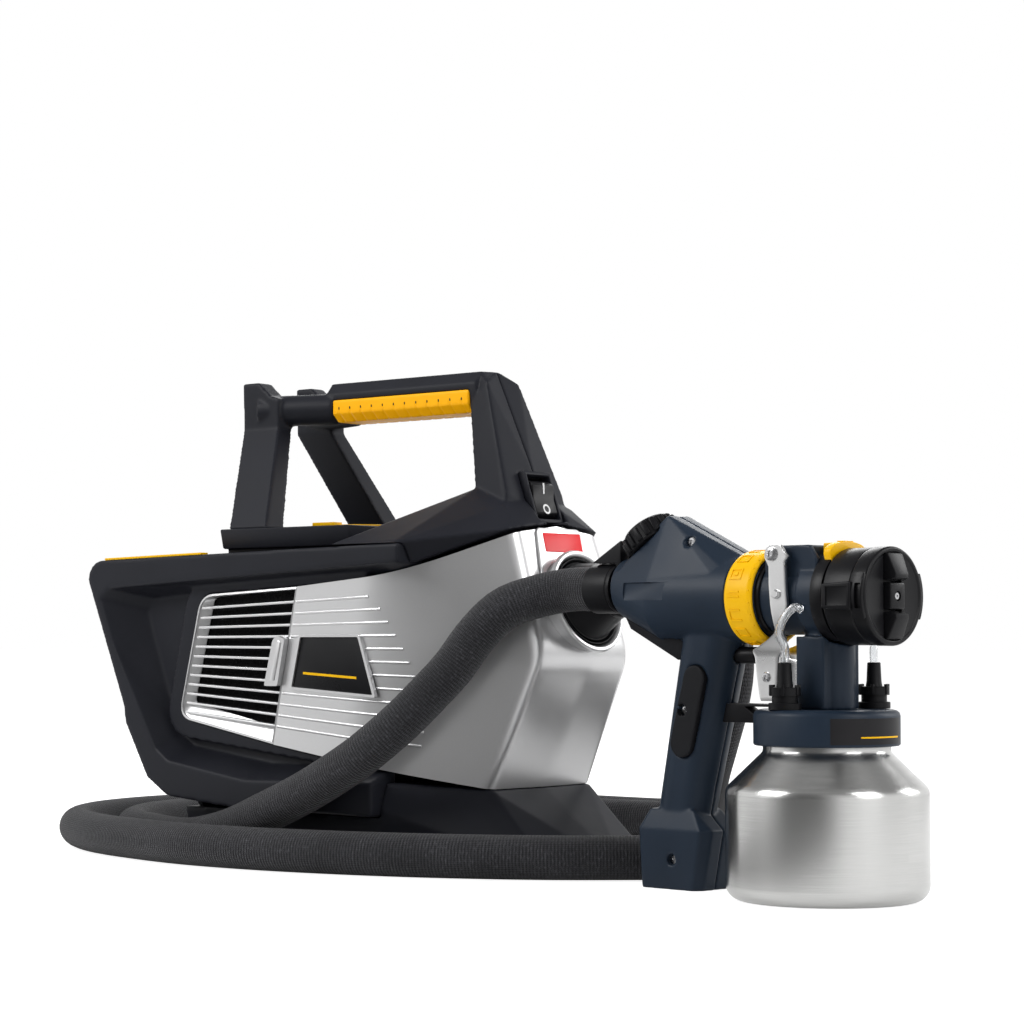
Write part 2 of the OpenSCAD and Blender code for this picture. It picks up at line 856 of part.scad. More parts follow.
module gun_foot_shape() {
    corners([for (s = [-1, 1]) each [
        [-134, s * 12, 36], [-129, s * 17, 36], [-82, s * 17, 36], [-77, s * 11, 36],
        [-132, s * 11, 0], [-128, s * 16, 0], [-89, s * 16, 0], [-84, s * 11, 0],
        [-124, s * 13, 48], [-90, s * 13, 48]]]);
}

module pad_shape(grow) {
    hull() {
        translate([-86, 0, 127]) rod_y(8 + grow, 13 - grow, 17.5, $fn = round_fn);
        translate([-97, 0, 88]) rod_y(8.5 + grow, 11.5 - grow, 16.5, $fn = round_fn);
    }
}

module tang_shape() {
    corners([for (s = [-1, 1]) each [
        [-149, s * 9, gun_z - 8], [-144, s * 8, gun_z - 18], [-122, s * 9, gun_z - 27],
        [-105, s * 9, gun_z - 37], [-97, s * 9, gun_z - 30], [-110, s * 10, gun_z - 18]]]);
}

module at_knob() {
    translate([-133, 0, gun_z + 38]) rotate([0, -38, 0]) children();
}

module gun_half_solid() {
    difference() {
        union() {
            gun_barrel_shape();
            gun_roof_shape();
            gun_grip_shape();
            gun_foot_shape();
        }
        at_axis() rod_x(passage_r, -122, body_front + 1);
        at_axis() translate([0, 0, inlet_up]) rod_x(13, body_rear - 1, -110);
        at_knob() translate([0, 0, -knob_t / 2 - gap]) cylinder(r = knob_r + gap, h = far);
        at_knob() translate([0, 0, -knob_t]) cylinder(r = 4 + fit, h = knob_t);
        pad_shape(seat);
        tang_shape();
        gun_screw_places(seat);
        translate([0, 0, stop_z]) rod_x(5 + seat, -70 - seat, -50);
    }
}

module gun_right() {
    gun(slate) mirror([0, 1, 0]) intersection() {
        gun_half_solid();
        left_half_space();
    }
}

module gun_left() {
    gun(slate) intersection() {
        gun_half_solid();
        left_half_space();
    }
}

module grip_pads() {
    gun(rubber_black) for (is_left = [false, true]) {
        left_side(is_left) difference() {
            pad_shape(0);
            translate([-96, 0, 108]) rod_y(3.5, 0, far);
        }
    }
}

module gun_tang() {
    gun(rubber_black) difference() {
        tang_shape();
        at_axis() rod_x(passage_r + 1.5, -130, body_front);
        at_axis() translate([0, 0, inlet_up]) rod_x(15, body_rear - 1, -110);
    }
}

// Screws that hold the two halves of the gun together.
module gun_screw_places(grow) {
    for (p = [[-91, gun_z + 34, 12], [-96, 108, 12], [-105, 18, 12]]) {
        translate([p[0], 0, p[1]]) {
            rod_y(1.8 + grow, -2, p[2]);
            rod_y(3.2 + grow, p[2] - 1, p[2] + (grow > 0 ? 20 : 1));
        }
    }
}

module gun_screws() {
    gun(steel) mirror([0, 1, 0]) gun_screw_places(0);
}

stop_z = gun_z - 34;
module trigger_stop() {
    gun(black) translate([0, 0, stop_z]) {
        rod_x(5, -70, -50);
        rod_x(3, -50, -46);
    }
}

module gun_hook() {
    gun(black) difference() {
        union() {
            translate([-76, -5, cup_lid_top + 0.6]) cube([46, 10, 1.8]);
            slab_y([[-76, 101], [-46, 101], [-46, 104], [-58, cup_lid_top + 1],
                [-76, cup_lid_top + 1]], -5, 5);
        }
        gun_grip_shape();
    }
}

module flow_knob() {
    gun(black) at_knob() difference() {
        union() {
            translate([0, 0, -knob_t / 2]) cylinder(r = knob_r - 1.5, h = knob_t);
            translate([0, 0, -knob_t / 2 + 1]) for (k = [0:17]) {
                rotate([0, 0, k * 20]) translate([knob_r - 3, -1.5, 0]) cube([3, 3, knob_t - 3]);
            }
            translate([0, 0, -knob_t + 2]) cylinder(r = 4, h = knob_t);
        }
        translate([0, 0, knob_t / 2 - 1.5]) cylinder(r = knob_r - 9, h = 3);
    }
}

module gun_inlet() {
    gun(black) at_axis() translate([0, 0, inlet_up]) {
        tube_x(13 - seat, 10.5, body_rear - 22, -124);
        tube_x(gun_cuff_r - 2, 12.5, body_rear - 4, body_rear - 0.2);
    }
    gun(black) slab_y([[-176, gun_z + 23], [body_rear - 0.4, gun_z + 36.5],
        [body_rear - 0.4, gun_z + 19], [body_rear - 3.8, gun_z + 19],
        [body_rear - 3.8, gun_z + 23]], -8, 8);
}

// ---------- lock ring and spray head ----------
ring_front = body_front + 1 + ring_len;
module lock_ring() {
    gun(ring_yellow) at_axis() {
        tube_x(ring_r, barrel_r - 2, body_front + gap, ring_front);
        for (k = [0:7]) {
            rotate([k * 45 + 22.5, 0, 0]) translate([body_front + 6, ring_r - 0.6, -3.5])
                cube([9, 1.4, 7]);
        }
    }
}

head_front = 17.5;
spigot_r = barrel_r - 2 - gap;
module spray_head() {
    gun(slate) difference() {
        union() {
            at_axis() rod_x(passage_r - seat, body_front - 8, body_front);
            at_axis() rod_x(spigot_r, body_front, ring_front - 1);
            at_axis() rod_x(head_r - 0.5, ring_front - 2, -4);
            at_axis() rod_x(head_r + 1.8, -4, head_front);
            slab_y([[-30, gun_z + 10], [8, gun_z + 10], [8, gun_z + 22], [2, gun_z + 30],
                [-26, gun_z + 30], [-30, gun_z + 22]], -19, 19);
            translate([3, 0, cup_lid_top]) cylinder(r = 14.4, h = gun_z - cup_lid_top);
            translate([-9, -17, cup_lid_top]) cube([head_front - 6 - gap + 9, 34, 42]);
        }
        at_axis() rod_x(needle_r + 3.5, body_front - 10, head_front + 1);
        at_axis() rod_x(passage_r - 6, body_front - 10, -30);
        translate([3, 0, cup_lid_top - 1]) cylinder(r = riser_r + seat, h = gun_z - cup_lid_top);
        translate([pivot_x, 0, gun_z + 25]) rod_y(pivot_r + fit, -far, far);
        at_axis() tube_x(cap_r, head_r + 1.8, head_front - 9.5, head_front + 1);
        at_axis() difference() {
            translate([head_front - 16, -15, 17]) cube([far, 30, far]);
            rod_x(head_r + 1.8, -far, far);
        }
    }
}

pivot_x = -20;
trigger_half = 22.9;
trigger_tip = cup_lid_top + 4;
module trigger() {
    gun(steel) difference() {
        union() {
            for (s = [0, 1]) {
                mirror([0, s, 0]) {
                    slab_y([[-26, gun_z + 25], [-24, gun_z + 30], [-17, gun_z + 31],
                        [-12, gun_z + 26], [-13, gun_z + 12], [-15, gun_z + 2], [-17, gun_z - 18],
                        [-22, gun_z - 32], [-36, gun_z - 32], [-33, gun_z - 25],
                        [-26, gun_z - 18], [-27, gun_z + 2], [-27, gun_z + 14]],
                        trigger_half, trigger_half + trigger_t);
                    slab_y([[-22, gun_z - 30], [-24, gun_z - 36], [-40, gun_z - 36],
                        [-40, gun_z - 33], [-36, gun_z - 30]], 13, trigger_half + trigger_t);
                    slab_y([[-24, gun_z - 34], [-27, trigger_tip], [-38, trigger_tip],
                        [-40, gun_z - 34]], 13, 13 + trigger_t);
                }
            }
            slab_y([[-24, gun_z - 33], [-27, trigger_tip], [-29.5, trigger_tip],
                [-26.5, gun_z - 33]], -14, 14);
        }
        translate([pivot_x, 0, gun_z + 25]) rod_y(pivot_r + fit, -far, far);
    }
}

module trigger_pins() {
    gun(steel) {
        translate([pivot_x, 0, gun_z + 25]) {
            rod_y(pivot_r, -trigger_half - trigger_t - 0.5, trigger_half + trigger_t + 0.5);
            for (s = [0, 1]) {
                mirror([0, s, 0]) rod_y(4.5, trigger_half + trigger_t + gap, trigger_half + trigger_t + 2.4);
            }
        }
    }
}

module needle() {
    gun(steel) at_axis() {
        rod_x(needle_r, -44, 42);
        rod_x(needle_r + 2.5, -48, -40);
    }
}

module needle_spring() {
    gun(steel) at_axis() tube_x(needle_r + 3, needle_r + 1.4, -62, -48.2);
}

module nozzle() {
    gun(steel) at_axis() difference() {
        union() {
            rod_x(8, head_front, 36);
            rod_x(4, 36, 43);
        }
        rod_x(needle_r + gap, head_front - 1, 44);
    }
}

cap_front = head_front + cap_len;
module air_cap() {
    gun(black) difference() {
        union() {
            at_axis() difference() {
                rod_x(cap_r, head_front + gap, cap_front);
                rod_x(cap_r - 3, head_front, cap_front - 7);
                rod_x(cap_r - 4, cap_front - 3, cap_front + 1);
            }
            at_axis() for (s = [0, 180]) {
                rotate([s, 0, 0]) {
                    slab_y([[cap_front - 4, 10], [cap_front + 2.5, 13], [cap_front + 2.5, cap_r - 9],
                        [cap_front - 4, cap_r - 3.5]], -5, 5);
                }
                rotate([s + 90, 0, 0]) translate([head_front - 6, -8, cap_r + 0.2])
                    cube([21, 16, 2.6]);
                rotate([s + 90, 0, 0]) translate([head_front + 8, -8, cap_r - 2])
                    cube([7, 16, 3]);
            }
        }
        at_axis() rod_x(4 + gap, 0, cap_front + 3);
    }
}

module width_lever() {
    gun(ring_yellow) at_axis() {
        tube_x(cap_r - 1, head_r + 1.8 + gap, head_front - 9, head_front - 1);
        difference() {
            translate([head_front - 15, -8, head_r + 4]) cube([18, 16, cap_r - head_r]);
            rod_x(head_r + 1.8 + gap, -20, head_front + 1);
            rod_x(cap_r + 0.8, head_front, far);
            rod_x(cap_r + gap, -10, far);
        }
        difference() {
            translate([head_front - 15, -8, cap_r - 4]) cube([14, 16, 6]);
            rod_x(head_r + 1.8 + gap, -20, head_front + 1);
        }
    }
}

// ---------- paint cup ----------
cup_top = cup_lid_top - 7.5;
lid_skirt_z = cup_neck_z + 3;
bottom_r = 9;

module cup_lid() {
    gun(slate) {
        difference() {
            rotate_extrude() polygon(concat(
                [[0, cup_lid_top - 6.5], [cup_neck_r + gap, cup_lid_top - 6.5],
                    [cup_neck_r + gap, lid_skirt_z], [cup_lid_r, lid_skirt_z]],
                arc(cup_lid_r - 3, cup_lid_top - 4, 3, 0, 90, 4),
                [[cup_lid_r - 10, cup_lid_top], [0, cup_lid_top]]));
            translate([3, 0, 0]) cylinder(r = riser_r + seat, h = far);
        }
    }
}

module lid_seal() {
    gun(rubber_black) translate([0, 0, cup_lid_top - 7.4 + gap]) difference() {
        cylinder(r = cup_neck_r - 1, h = 0.9 - gap);
        translate([0, 0, -1]) cylinder(r = cup_neck_r - 6, h = 4);
    }
}

module cup() {
    inner = cup_r - cup_t;
    gun(steel) rotate_extrude($fn = 96) polygon(concat(
        [[0, 0]],
        arc(cup_r - bottom_r, bottom_r, bottom_r, -90, 0, 6),
        arc(cup_r - 7, cup_wall_top, 7, 0, 48, 4),
        [[cup_neck_r + 2, cup_neck_z - 1], [cup_neck_r, cup_neck_z],
            [cup_neck_r, cup_top], [cup_neck_r - cup_t, cup_top],
            [cup_neck_r - cup_t, cup_neck_z], [cup_neck_r + 1, cup_neck_z - 3]],
        arc(inner - 6.5, cup_wall_top, 6.5, 48, 0, 4),
        arc(inner - bottom_r, bottom_r + cup_t, bottom_r, 0, -90, 6),
        [[0, cup_t]]));
}

module riser_tube() {
    gun(steel) translate([3, 0, 5]) difference() {
        cylinder(r = riser_r, h = cup_lid_top + 8 - 5);
        translate([0, 0, -1]) cylinder(r = riser_r - 1, h = far);
    }
}

valve_places = [[-7, -30], [12, 30]];
module check_valves() {
    gun(black) for (p = valve_places) {
        translate([p[0], p[1], cup_lid_top]) {
            cylinder(r = 9.5, h = 4);
            cylinder(r = 7.5, h = 12);
            translate([0, 0, 8]) cylinder(r = 9, h = 5);
            cylinder(r = 4.5, h = 27);
        }
    }
}

// ---------- swept tubes ----------
function unit_vec(v) = v / norm(v);
function tangent(p, i) = unit_vec(p[min(i + 1, len(p) - 1)] - p[max(i - 1, 0)]);
function square_to(v, t) = unit_vec(v - (v * t) * t);
// Carries one side vector along the route without twisting it.
function side_vectors(p, i, side) = i >= len(p) ? [] : let (
    s = square_to(side, tangent(p, i))) concat([s], side_vectors(p, i + 1, s));
function ring_points(c, t, s, r, n) = [for (k = [0:n - 1]) let (a = 360 * k / n)
    c + r * cos(a) * s + r * sin(a) * cross(t, s)];

module swept_tube(route, r, n, first_side) {
    sides = side_vectors(route, 0, first_side);
    count = len(route);
    points = [for (i = [0:count - 1]) each
        ring_points(route[i], tangent(route, i), sides[i], r, n)];
    skin = [for (i = [0:count - 2]) for (k = [0:n - 1]) each [
        [i * n + k, i * n + (k + 1) % n, (i + 1) * n + (k + 1) % n],
        [i * n + k, (i + 1) * n + (k + 1) % n, (i + 1) * n + k]]];
    start_cap = [for (k = [1:n - 2]) [0, k + 1, k]];
    last = (count - 1) * n;
    end_cap = [for (k = [1:n - 2]) [last, last + k, last + k + 1]];
    polyhedron(points = points, faces = concat(
        [for (f = skin) [f[0], f[2], f[1]]],
        [for (f = start_cap) [f[0], f[2], f[1]]],
        [for (f = end_cap) [f[0], f[2], f[1]]]), convexity = 10);
}

// Points on the smooth curve through a list of hand-placed ones.
function spline(a, b, c, d, t) = 0.5 * (2 * b + (c - a) * t
    + (2 * a - 5 * b + 4 * c - d) * t ^ 2 + (3 * b - a - 3 * c + d) * t ^ 3);
function smooth(p, steps) = let (n = len(p)) concat(
    [for (i = [0:n - 2]) for (j = [0:steps - 1])
        spline(p[max(i - 1, 0)], p[i], p[i + 1], p[min(i + 2, n - 1)], j / steps)],
    [p[n - 1]]);

vent_route = [[0, -24.4, 168], [0, -30, 168.5], [-4, -34, 163], [-8, -34, 154], [-7, -30, 146],
    [-7, -30, 137.2]];
module vent_tubes() {
    gun("#d9dde0") {
        swept_tube(smooth(vent_route, 2), vent_tube_r, 8, [0, 0, 1]);
        translate([12, 30, 0]) rotate([0, 0, 180])
            translate([7, 30, 0]) swept_tube(smooth(vent_route, 2), vent_tube_r, 8, [0, 0, 1]);
    }
}

// Hose route from the gun cuff to the unit cuff, in the unit frame.
hose_route = [
    [178.2, -46.1, 182], [158, -44.7, 182], [138, -52, 178.5], [119.5, -67, 170], [105, -77.5, 153],
    [94, -87, 133], [82, -97, 116], [68, -106.5, 99], [50, -112, 84], [29, -113, 71],
    [-10, -112, 52], [-50, -111, 36], [-92, -106.5, 22], [-139, -98, 14], [-192, -83, 14],
    [-248, -50, 14], [-290, 8, 14], [-304, 80, 14], [-282, 152, 14], [-222, 212, 14],
    [-140, 244, 14], [-40, 256, 14], [70, 258, 14], [165, 248, 14], [238, 210, 14], [276, 152, 14],
    [281, 82, 14], [255, 20, 14], [209, -21, 14], [150, -70, 14], [75, -108, 14], [-10, -131, 14],
    [-90, -137, 14], [-160, -127, 14], [-229, -106, 14], [-291, -66, 14], [-332, -4, 14],
    [-346, 75, 14], [-326, 160, 14], [-272, 232, 14], [-190, 272, 14], [-100, 285, 14],
    [0, 291, 14], [72, 296, 19], [121, 280, 34], [152, 247, 44], [170, 204, 38], [180, 165, 25],
    [185, 130, 16], [188, 95, 18], [193, 63, 27], [203, 36, 41], [219, 14, 60], [237, -1, 84],
    [250, -8, 109], [255, -9, 132], [252, -8, 151], [236, -5, 176], [209, -1, 191], [178, 0, 189.5],
    [164.2, 0, 185.1]];

module hose() {
    unit("#2a2a2e") swept_tube(hose_route, hose_r, 12, [0, 0, 1]);
}

module hose_cuff_unit() {
    unit(black) at_socket() rotate([0, 90, 0]) translate([0, 0, -20])
        difference() {
            union() {
                cylinder(r = socket_r - seat, h = 28);
                translate([0, 0, 28]) cylinder(r1 = cuff_wide_r, r2 = hose_r + 2, h = cuff_len - 8);
            }
            translate([0, 0, -1]) cylinder(r = hose_r - 3, h = cuff_len + 30);
        }
}

module hose_cuff_gun() {
    gun(black) at_axis() translate([0, 0, inlet_up])
        tube_x(gun_cuff_r, 13, body_rear - 27, body_rear - 4.2);
}

base_pan();
rubber_feet();
side_frame_right();
side_frame_left();
rear_panel();
top_deck();
storage_lid();
lid_ring();
front_shroud();
red_plate();
name_plates();
socket_ring();
socket_sleeve();
handle_right();
handle_left();
grip_inlay();
switch_bezel();
rocker();
vent_cover_right();
vent_cover_left();
clip_right();
clip_left();
filter_foams();
blower_housing();
motor_can();
impellers();
rotor_shaft();
bearings();
mount_bushes();
outlet_duct();
cord_inlet();
deck_strips();
case_screws();
gun_right();
gun_left();
grip_pads();
gun_tang();
trigger_stop();
gun_hook();
flow_knob();
gun_inlet();
gun_screws();
lock_ring();
spray_head();
trigger();
trigger_pins();
needle();
needle_spring();
nozzle();
air_cap();
width_lever();
cup_lid();
lid_seal();
cup();
riser_tube();
vent_tubes();
check_valves();
hose();
hose_cuff_unit();
hose_cuff_gun();
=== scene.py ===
"""Finishes, shells, woven hose and studio for the floor-standing paint sprayer.

Places written as case(x, y, z) or gun(x, y, z) are in millimetres. The case's own
frame has +X to its front and its middle on the origin; the gun's own frame has +X
along the barrel towards the nozzle and its origin under the middle of the cup.
"""

import json
import math

import bmesh
import bpy
from mathutils import Matrix, Vector
from mathutils.bvhtree import BVHTree

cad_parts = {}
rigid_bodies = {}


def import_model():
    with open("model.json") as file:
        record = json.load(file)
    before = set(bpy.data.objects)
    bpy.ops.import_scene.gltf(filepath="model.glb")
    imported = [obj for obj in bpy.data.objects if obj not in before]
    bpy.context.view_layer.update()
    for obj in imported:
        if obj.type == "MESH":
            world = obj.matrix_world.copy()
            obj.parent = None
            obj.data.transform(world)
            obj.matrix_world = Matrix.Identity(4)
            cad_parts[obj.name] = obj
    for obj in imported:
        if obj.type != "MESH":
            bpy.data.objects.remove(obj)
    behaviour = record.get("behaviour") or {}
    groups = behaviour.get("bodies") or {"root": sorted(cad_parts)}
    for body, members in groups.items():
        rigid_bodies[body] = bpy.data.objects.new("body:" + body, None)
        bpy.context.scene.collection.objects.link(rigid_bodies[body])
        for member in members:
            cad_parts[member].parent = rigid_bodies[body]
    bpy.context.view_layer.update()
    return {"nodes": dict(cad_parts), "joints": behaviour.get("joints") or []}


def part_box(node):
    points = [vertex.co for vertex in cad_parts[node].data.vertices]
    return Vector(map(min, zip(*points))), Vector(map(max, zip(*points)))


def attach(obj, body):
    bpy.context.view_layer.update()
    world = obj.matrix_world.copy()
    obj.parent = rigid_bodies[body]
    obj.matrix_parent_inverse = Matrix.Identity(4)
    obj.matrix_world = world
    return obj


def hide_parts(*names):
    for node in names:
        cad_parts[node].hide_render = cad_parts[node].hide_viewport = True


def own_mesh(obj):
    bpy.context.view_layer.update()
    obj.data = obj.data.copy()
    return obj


bl_info = {
    "name": "Paint sprayer",
    "version": (1, 0, 0),
    "blender": (4, 5, 0),
    "location": "View3D > Sidebar > Sprayer",
    "description": "Builds the surfaces of a turbine paint sprayer on its frame",
    "category": "Object",
}

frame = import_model()
JOINTS = {joint["name"]: joint for joint in frame["joints"]}

MM = 0.001
SPIN_POS = JOINTS["rotor_spin"]["pos_m"]
CUP_POS = JOINTS["cup_unscrew"]["pos_m"]
BARREL = Vector(JOINTS["lock_ring_turn"]["axis"])
BARREL_Z = JOINTS["lock_ring_turn"]["pos_m"][2] / MM
# each of these turns millimetres in a place's own frame into metres in the world
CASE = Matrix.Translation((SPIN_POS[0], SPIN_POS[1], 0)) @ Matrix.Scale(MM, 4)
GUN = (
    Matrix.Translation((CUP_POS[0], CUP_POS[1], 0))
    @ Matrix.Rotation(math.atan2(BARREL.y, BARREL.x), 4, "Z")
    @ Matrix.Scale(MM, 4)
)
AXIS = GUN @ Matrix.Translation((0, 0, BARREL_Z))
SOCKET = CASE @ Matrix.Translation((126, 0, 173)) @ Matrix.Rotation(math.radians(-17.6), 4, "Y")
NOSE = SOCKET @ Matrix.Rotation(math.radians(-1.6), 4, "Y")
SWITCH = CASE @ Matrix.Translation((94.5, 0, 244)) @ Matrix.Rotation(math.radians(-19), 4, "Y")
KNOB = GUN @ Matrix.Translation((-133, 0, 213)) @ Matrix.Rotation(math.radians(-38), 4, "Y")
SIDES = {"right": -1, "left": 1}


# ---------------------------------------------------------------- settings
def measure(title, words, default, low, high):
    """Size property in metres with the given name, description, default and limits."""
    return bpy.props.FloatProperty(
        name=title, description=words, default=default, min=low, max=high,
        subtype="DISTANCE", unit="LENGTH", precision=4)


class SprayerSizes(bpy.types.PropertyGroup):
    """Sizes of the finished surfaces, in metres."""

    hose_radius: measure("Hose radius", "Outer radius of the woven hose", 0.014, 0.012, 0.0145)
    hose_rib: measure("Hose rib pitch", "Distance between two ribs of the hose's weave",
                      0.0021, 0.0012, 0.004)
    case_voxel: measure("Case mesh size", "Mesh size used to round the case's shells",
                        0.0013, 0.001, 0.003)
    gun_voxel: measure("Gun mesh size", "Mesh size used to round the gun's shells",
                       0.0009, 0.0007, 0.002)
    cover_round: measure("Cover rounding", "Width of the silver cover's rounded corners",
                         0.007, 0.002, 0.010)
    slat_height: measure("Slat height", "Height of one slat of a side cover",
                         0.0019, 0.001, 0.003)


def colour(title, words, default):
    """Colour property with the given name, description and linear default."""
    return bpy.props.FloatVectorProperty(
        name=title, description=words, default=default, min=0.0, max=1.0, size=3,
        subtype="COLOR")


class SprayerColours(bpy.types.PropertyGroup):
    """Linear colours of the finishes."""

    charcoal: colour("Charcoal", "Case, deck and handle", (0.0105, 0.0112, 0.0155))
    silver: colour("Silver", "Front cover and side covers", (0.62, 0.62, 0.625))
    ring_yellow: colour("Ring yellow", "Lock ring, width lever and lid ring",
                        (0.82, 0.45, 0.0008))
    grip_yellow: colour("Grip yellow", "Inlay of the carry handle", (0.94, 0.43, 0.001))
    slate: colour("Slate", "Gun body, spray head and cup lid", (0.0105, 0.0185, 0.032))
    black: colour("Black", "Air cap, knob, cuffs and switch", (0.0055, 0.0055, 0.0065))
    rubber: colour("Rubber", "Pads and feet", (0.0085, 0.0088, 0.0105))
    red: colour("Red", "Plate over the hose socket", (0.72, 0.006, 0.012))
    hose_dark: colour("Hose dark", "Shadowed threads of the hose", (0.0045, 0.0045, 0.006))
    hose_light: colour("Hose light", "Lit threads of the hose", (0.062, 0.062, 0.070))


def sizes():
    """Sizes as they stand in the sidebar."""
    return bpy.context.scene.sprayer_sizes


def paint(name):
    """Linear colour of that name as it stands in the sidebar."""
    return tuple(getattr(bpy.context.scene.sprayer_colours, name))


# ---------------------------------------------------------------- materials
class Nodes:
    """Shader nodes of a material or a world, which may start with none."""

    def __init__(self, owner, empty=False):
        owner.use_nodes = True
        self.tree = owner.node_tree
        if empty:
            self.tree.nodes.clear()

    def node(self, kind, **values):
        """A new node with its inputs or its settings given by name."""
        made = self.tree.nodes.new(kind)
        for key, value in values.items():
            if key in made.inputs:
                made.inputs[key].default_value = value
            else:
                setattr(made, key, value)
        return made

    def link(self, source, target):
        self.tree.links.new(source, target)

    def ramp(self, value, low, high, out_low, out_high, smooth=False):
        """Value mapped from one range to another and held at its ends."""
        made = self.node("ShaderNodeMapRange",
                         interpolation_type="SMOOTHSTEP" if smooth else "LINEAR")
        for key, number in zip(("From Min", "From Max", "To Min", "To Max"),
                               (low, high, out_low, out_high)):
            made.inputs[key].default_value = number
        self.link(value, made.inputs["Value"])
        return made.outputs["Result"]

    def maths(self, operation, a, b=None):
        made = self.node("ShaderNodeMath", operation=operation)
        for socket, value in zip(made.inputs, (a, b)):
            if isinstance(value, (int, float)):
                socket.default_value = value
            elif value is not None:
                self.link(value, socket)
        return made.outputs["Value"]

    def toward(self, vector, way):
        """How far a direction points one way, where 1 is straight along it."""
        made = self.node("ShaderNodeVectorMath", operation="DOT_PRODUCT")
        made.inputs[1].default_value = way
        self.link(vector, made.inputs[0])
        return made.outputs["Value"]

    def rays(self):
        """Whether a ray shows the backdrop itself, and whether it shows its reflection."""
        seen = self.node("ShaderNodeLightPath").outputs
        return (self.maths("MAXIMUM", seen["Is Camera Ray"], seen["Is Transmission Ray"]),
                seen["Is Glossy Ray"])


class Finish(Nodes):
    """A node material under construction, with its Principled shader at hand."""

    def __init__(self, name, base, roughness, metallic=0.0):
        self.material = bpy.data.materials.new(name)
        super().__init__(self.material)
        self.shader = self.tree.nodes["Principled BSDF"]
        self.set("Base Color", (*base, 1.0))
        self.set("Roughness", roughness)
        self.set("Metallic", metallic)

    def set(self, socket, value):
        self.shader.inputs[socket].default_value = value

    def to(self, source, socket):
        self.link(source, self.shader.inputs[socket])

    def coordinates(self, kind="Object", scale=(1, 1, 1)):
        """Places on the piece, in metres or on its own UV map."""
        place = self.node("ShaderNodeMapping")
        place.inputs["Scale"].default_value = scale
        self.link(self.node("ShaderNodeTexCoord").outputs[kind], place.inputs["Vector"])
        return place.outputs["Vector"]

    def noise(self, vector, scale, detail=3.0):
        made = self.node("ShaderNodeTexNoise", Scale=scale, Detail=detail)
        self.link(vector, made.inputs["Vector"])
        return made.outputs["Fac"]

    def mix(self, value, dark, light):
        """Colour between two, by a value from 0 to 1."""
        made = self.node("ShaderNodeValToRGB")
        made.color_ramp.elements[0].color = (*dark, 1.0)
        made.color_ramp.elements[1].color = (*light, 1.0)
        self.link(value, made.inputs["Fac"])
        return made.outputs["Color"]

    def bump(self, height, distance, strength=1.0):
        made = self.node("ShaderNodeBump", Distance=distance, Strength=strength)
        self.link(height, made.inputs["Height"])
        self.to(made.outputs["Normal"], "Normal")


def moulded(name, base, roughness, grain=0.00005, grain_scale=1700.0, worn=1.25, gloss=0.16):
    """Spark-eroded moulded plastic: fine grain, and slow changes of shade and gloss."""
    made = Finish(name, base, roughness)
    made.set("Specular IOR Level", gloss)
    place = made.coordinates()
    slow = made.noise(place, 22.0, 4.0)
    worn_base = tuple(min(1.0, c * worn) for c in base)
    made.to(made.mix(made.ramp(slow, 0.35, 0.75, 0.0, 1.0), base, worn_base), "Base Color")
    made.to(made.ramp(slow, 0.3, 0.7, roughness - 0.05, roughness + 0.05), "Roughness")
    made.bump(made.noise(place, grain_scale, 2.0), grain, 0.35)
    return made.material


# a sidebar colour or a fixed one, roughness, and what differs from plain moulded plastic
MOULDED = {
    "charcoal_plastic": ("charcoal", 0.50, {}),
    "slate_plastic": ("slate", 0.42, {"gloss": 0.2}),
    "black_plastic": ("black", 0.40, {"worn": 1.5}),
    "satin_black": ("black", 0.34, {"grain": 0.00003}),
    "soft_rubber": ("rubber", 0.62, {"grain": 0.00008, "grain_scale": 1100.0, "gloss": 0.14}),
    "yellow_plastic": ("ring_yellow", 0.38, {"worn": 1.05}),
    "grip_plastic": ("grip_yellow", 0.42, {"worn": 1.08}),
    "red_gloss": ("red", 0.25, {"grain": 0.00001, "worn": 1.05}),
    "plate_black": ((0.005, 0.005, 0.006), 0.30, {"grain": 0.00001}),
    "line_yellow": ("ring_yellow", 0.35, {"grain": 0.00001, "worn": 1.02}),
    "mark_white": ((0.78, 0.78, 0.78), 0.4, {"grain": 0.00001, "worn": 1.02}),
    "label_graphite": ((0.013, 0.0125, 0.014), 0.36, {"grain": 0.00001}),
}


def silver_lacquer():
    """Metal-flake lacquer on a moulded cover."""
    made = Finish("silver_lacquer", paint("silver"), 0.30, 0.82)
    place = made.coordinates()
    flake = made.noise(place, 5200.0, 1.0)
    slow = made.noise(place, 14.0, 3.0)
    bright = tuple(min(1.0, c * 1.08) for c in paint("silver"))
    made.to(made.mix(made.ramp(flake, 0.35, 0.7, 0.0, 1.0), paint("silver"), bright), "Base Color")
    made.to(made.ramp(slow, 0.3, 0.7, 0.27, 0.34), "Roughness")
    made.set("Coat Weight", 0.25)
    made.set("Coat Roughness", 0.16)
    made.bump(flake, 0.00001, 0.3)
    return made.material


def brushed(name, base, roughness, scale):
    """Metal brushed along its first texture axis, on the piece's own UV map."""
    made = Finish(name, base, roughness, 1.0)
    lines = made.noise(made.coordinates("UV", scale), 1.0, 3.0)
    fine = made.noise(made.coordinates("UV", (scale[0] * 2.5, scale[1] * 2.3, 1)), 1.0, 2.0)
    both = made.maths("ADD", made.maths("MULTIPLY", lines, 0.6),
                      made.maths("MULTIPLY", fine, 0.4))
    dark = tuple(c * 0.86 for c in base)
    made.to(made.mix(made.ramp(both, 0.36, 0.64, 0.0, 1.0), dark, base), "Base Color")
    made.to(made.ramp(both, 0.36, 0.64, roughness + 0.05, roughness - 0.04), "Roughness")
    made.bump(both, 0.000012, 0.5)
    return made


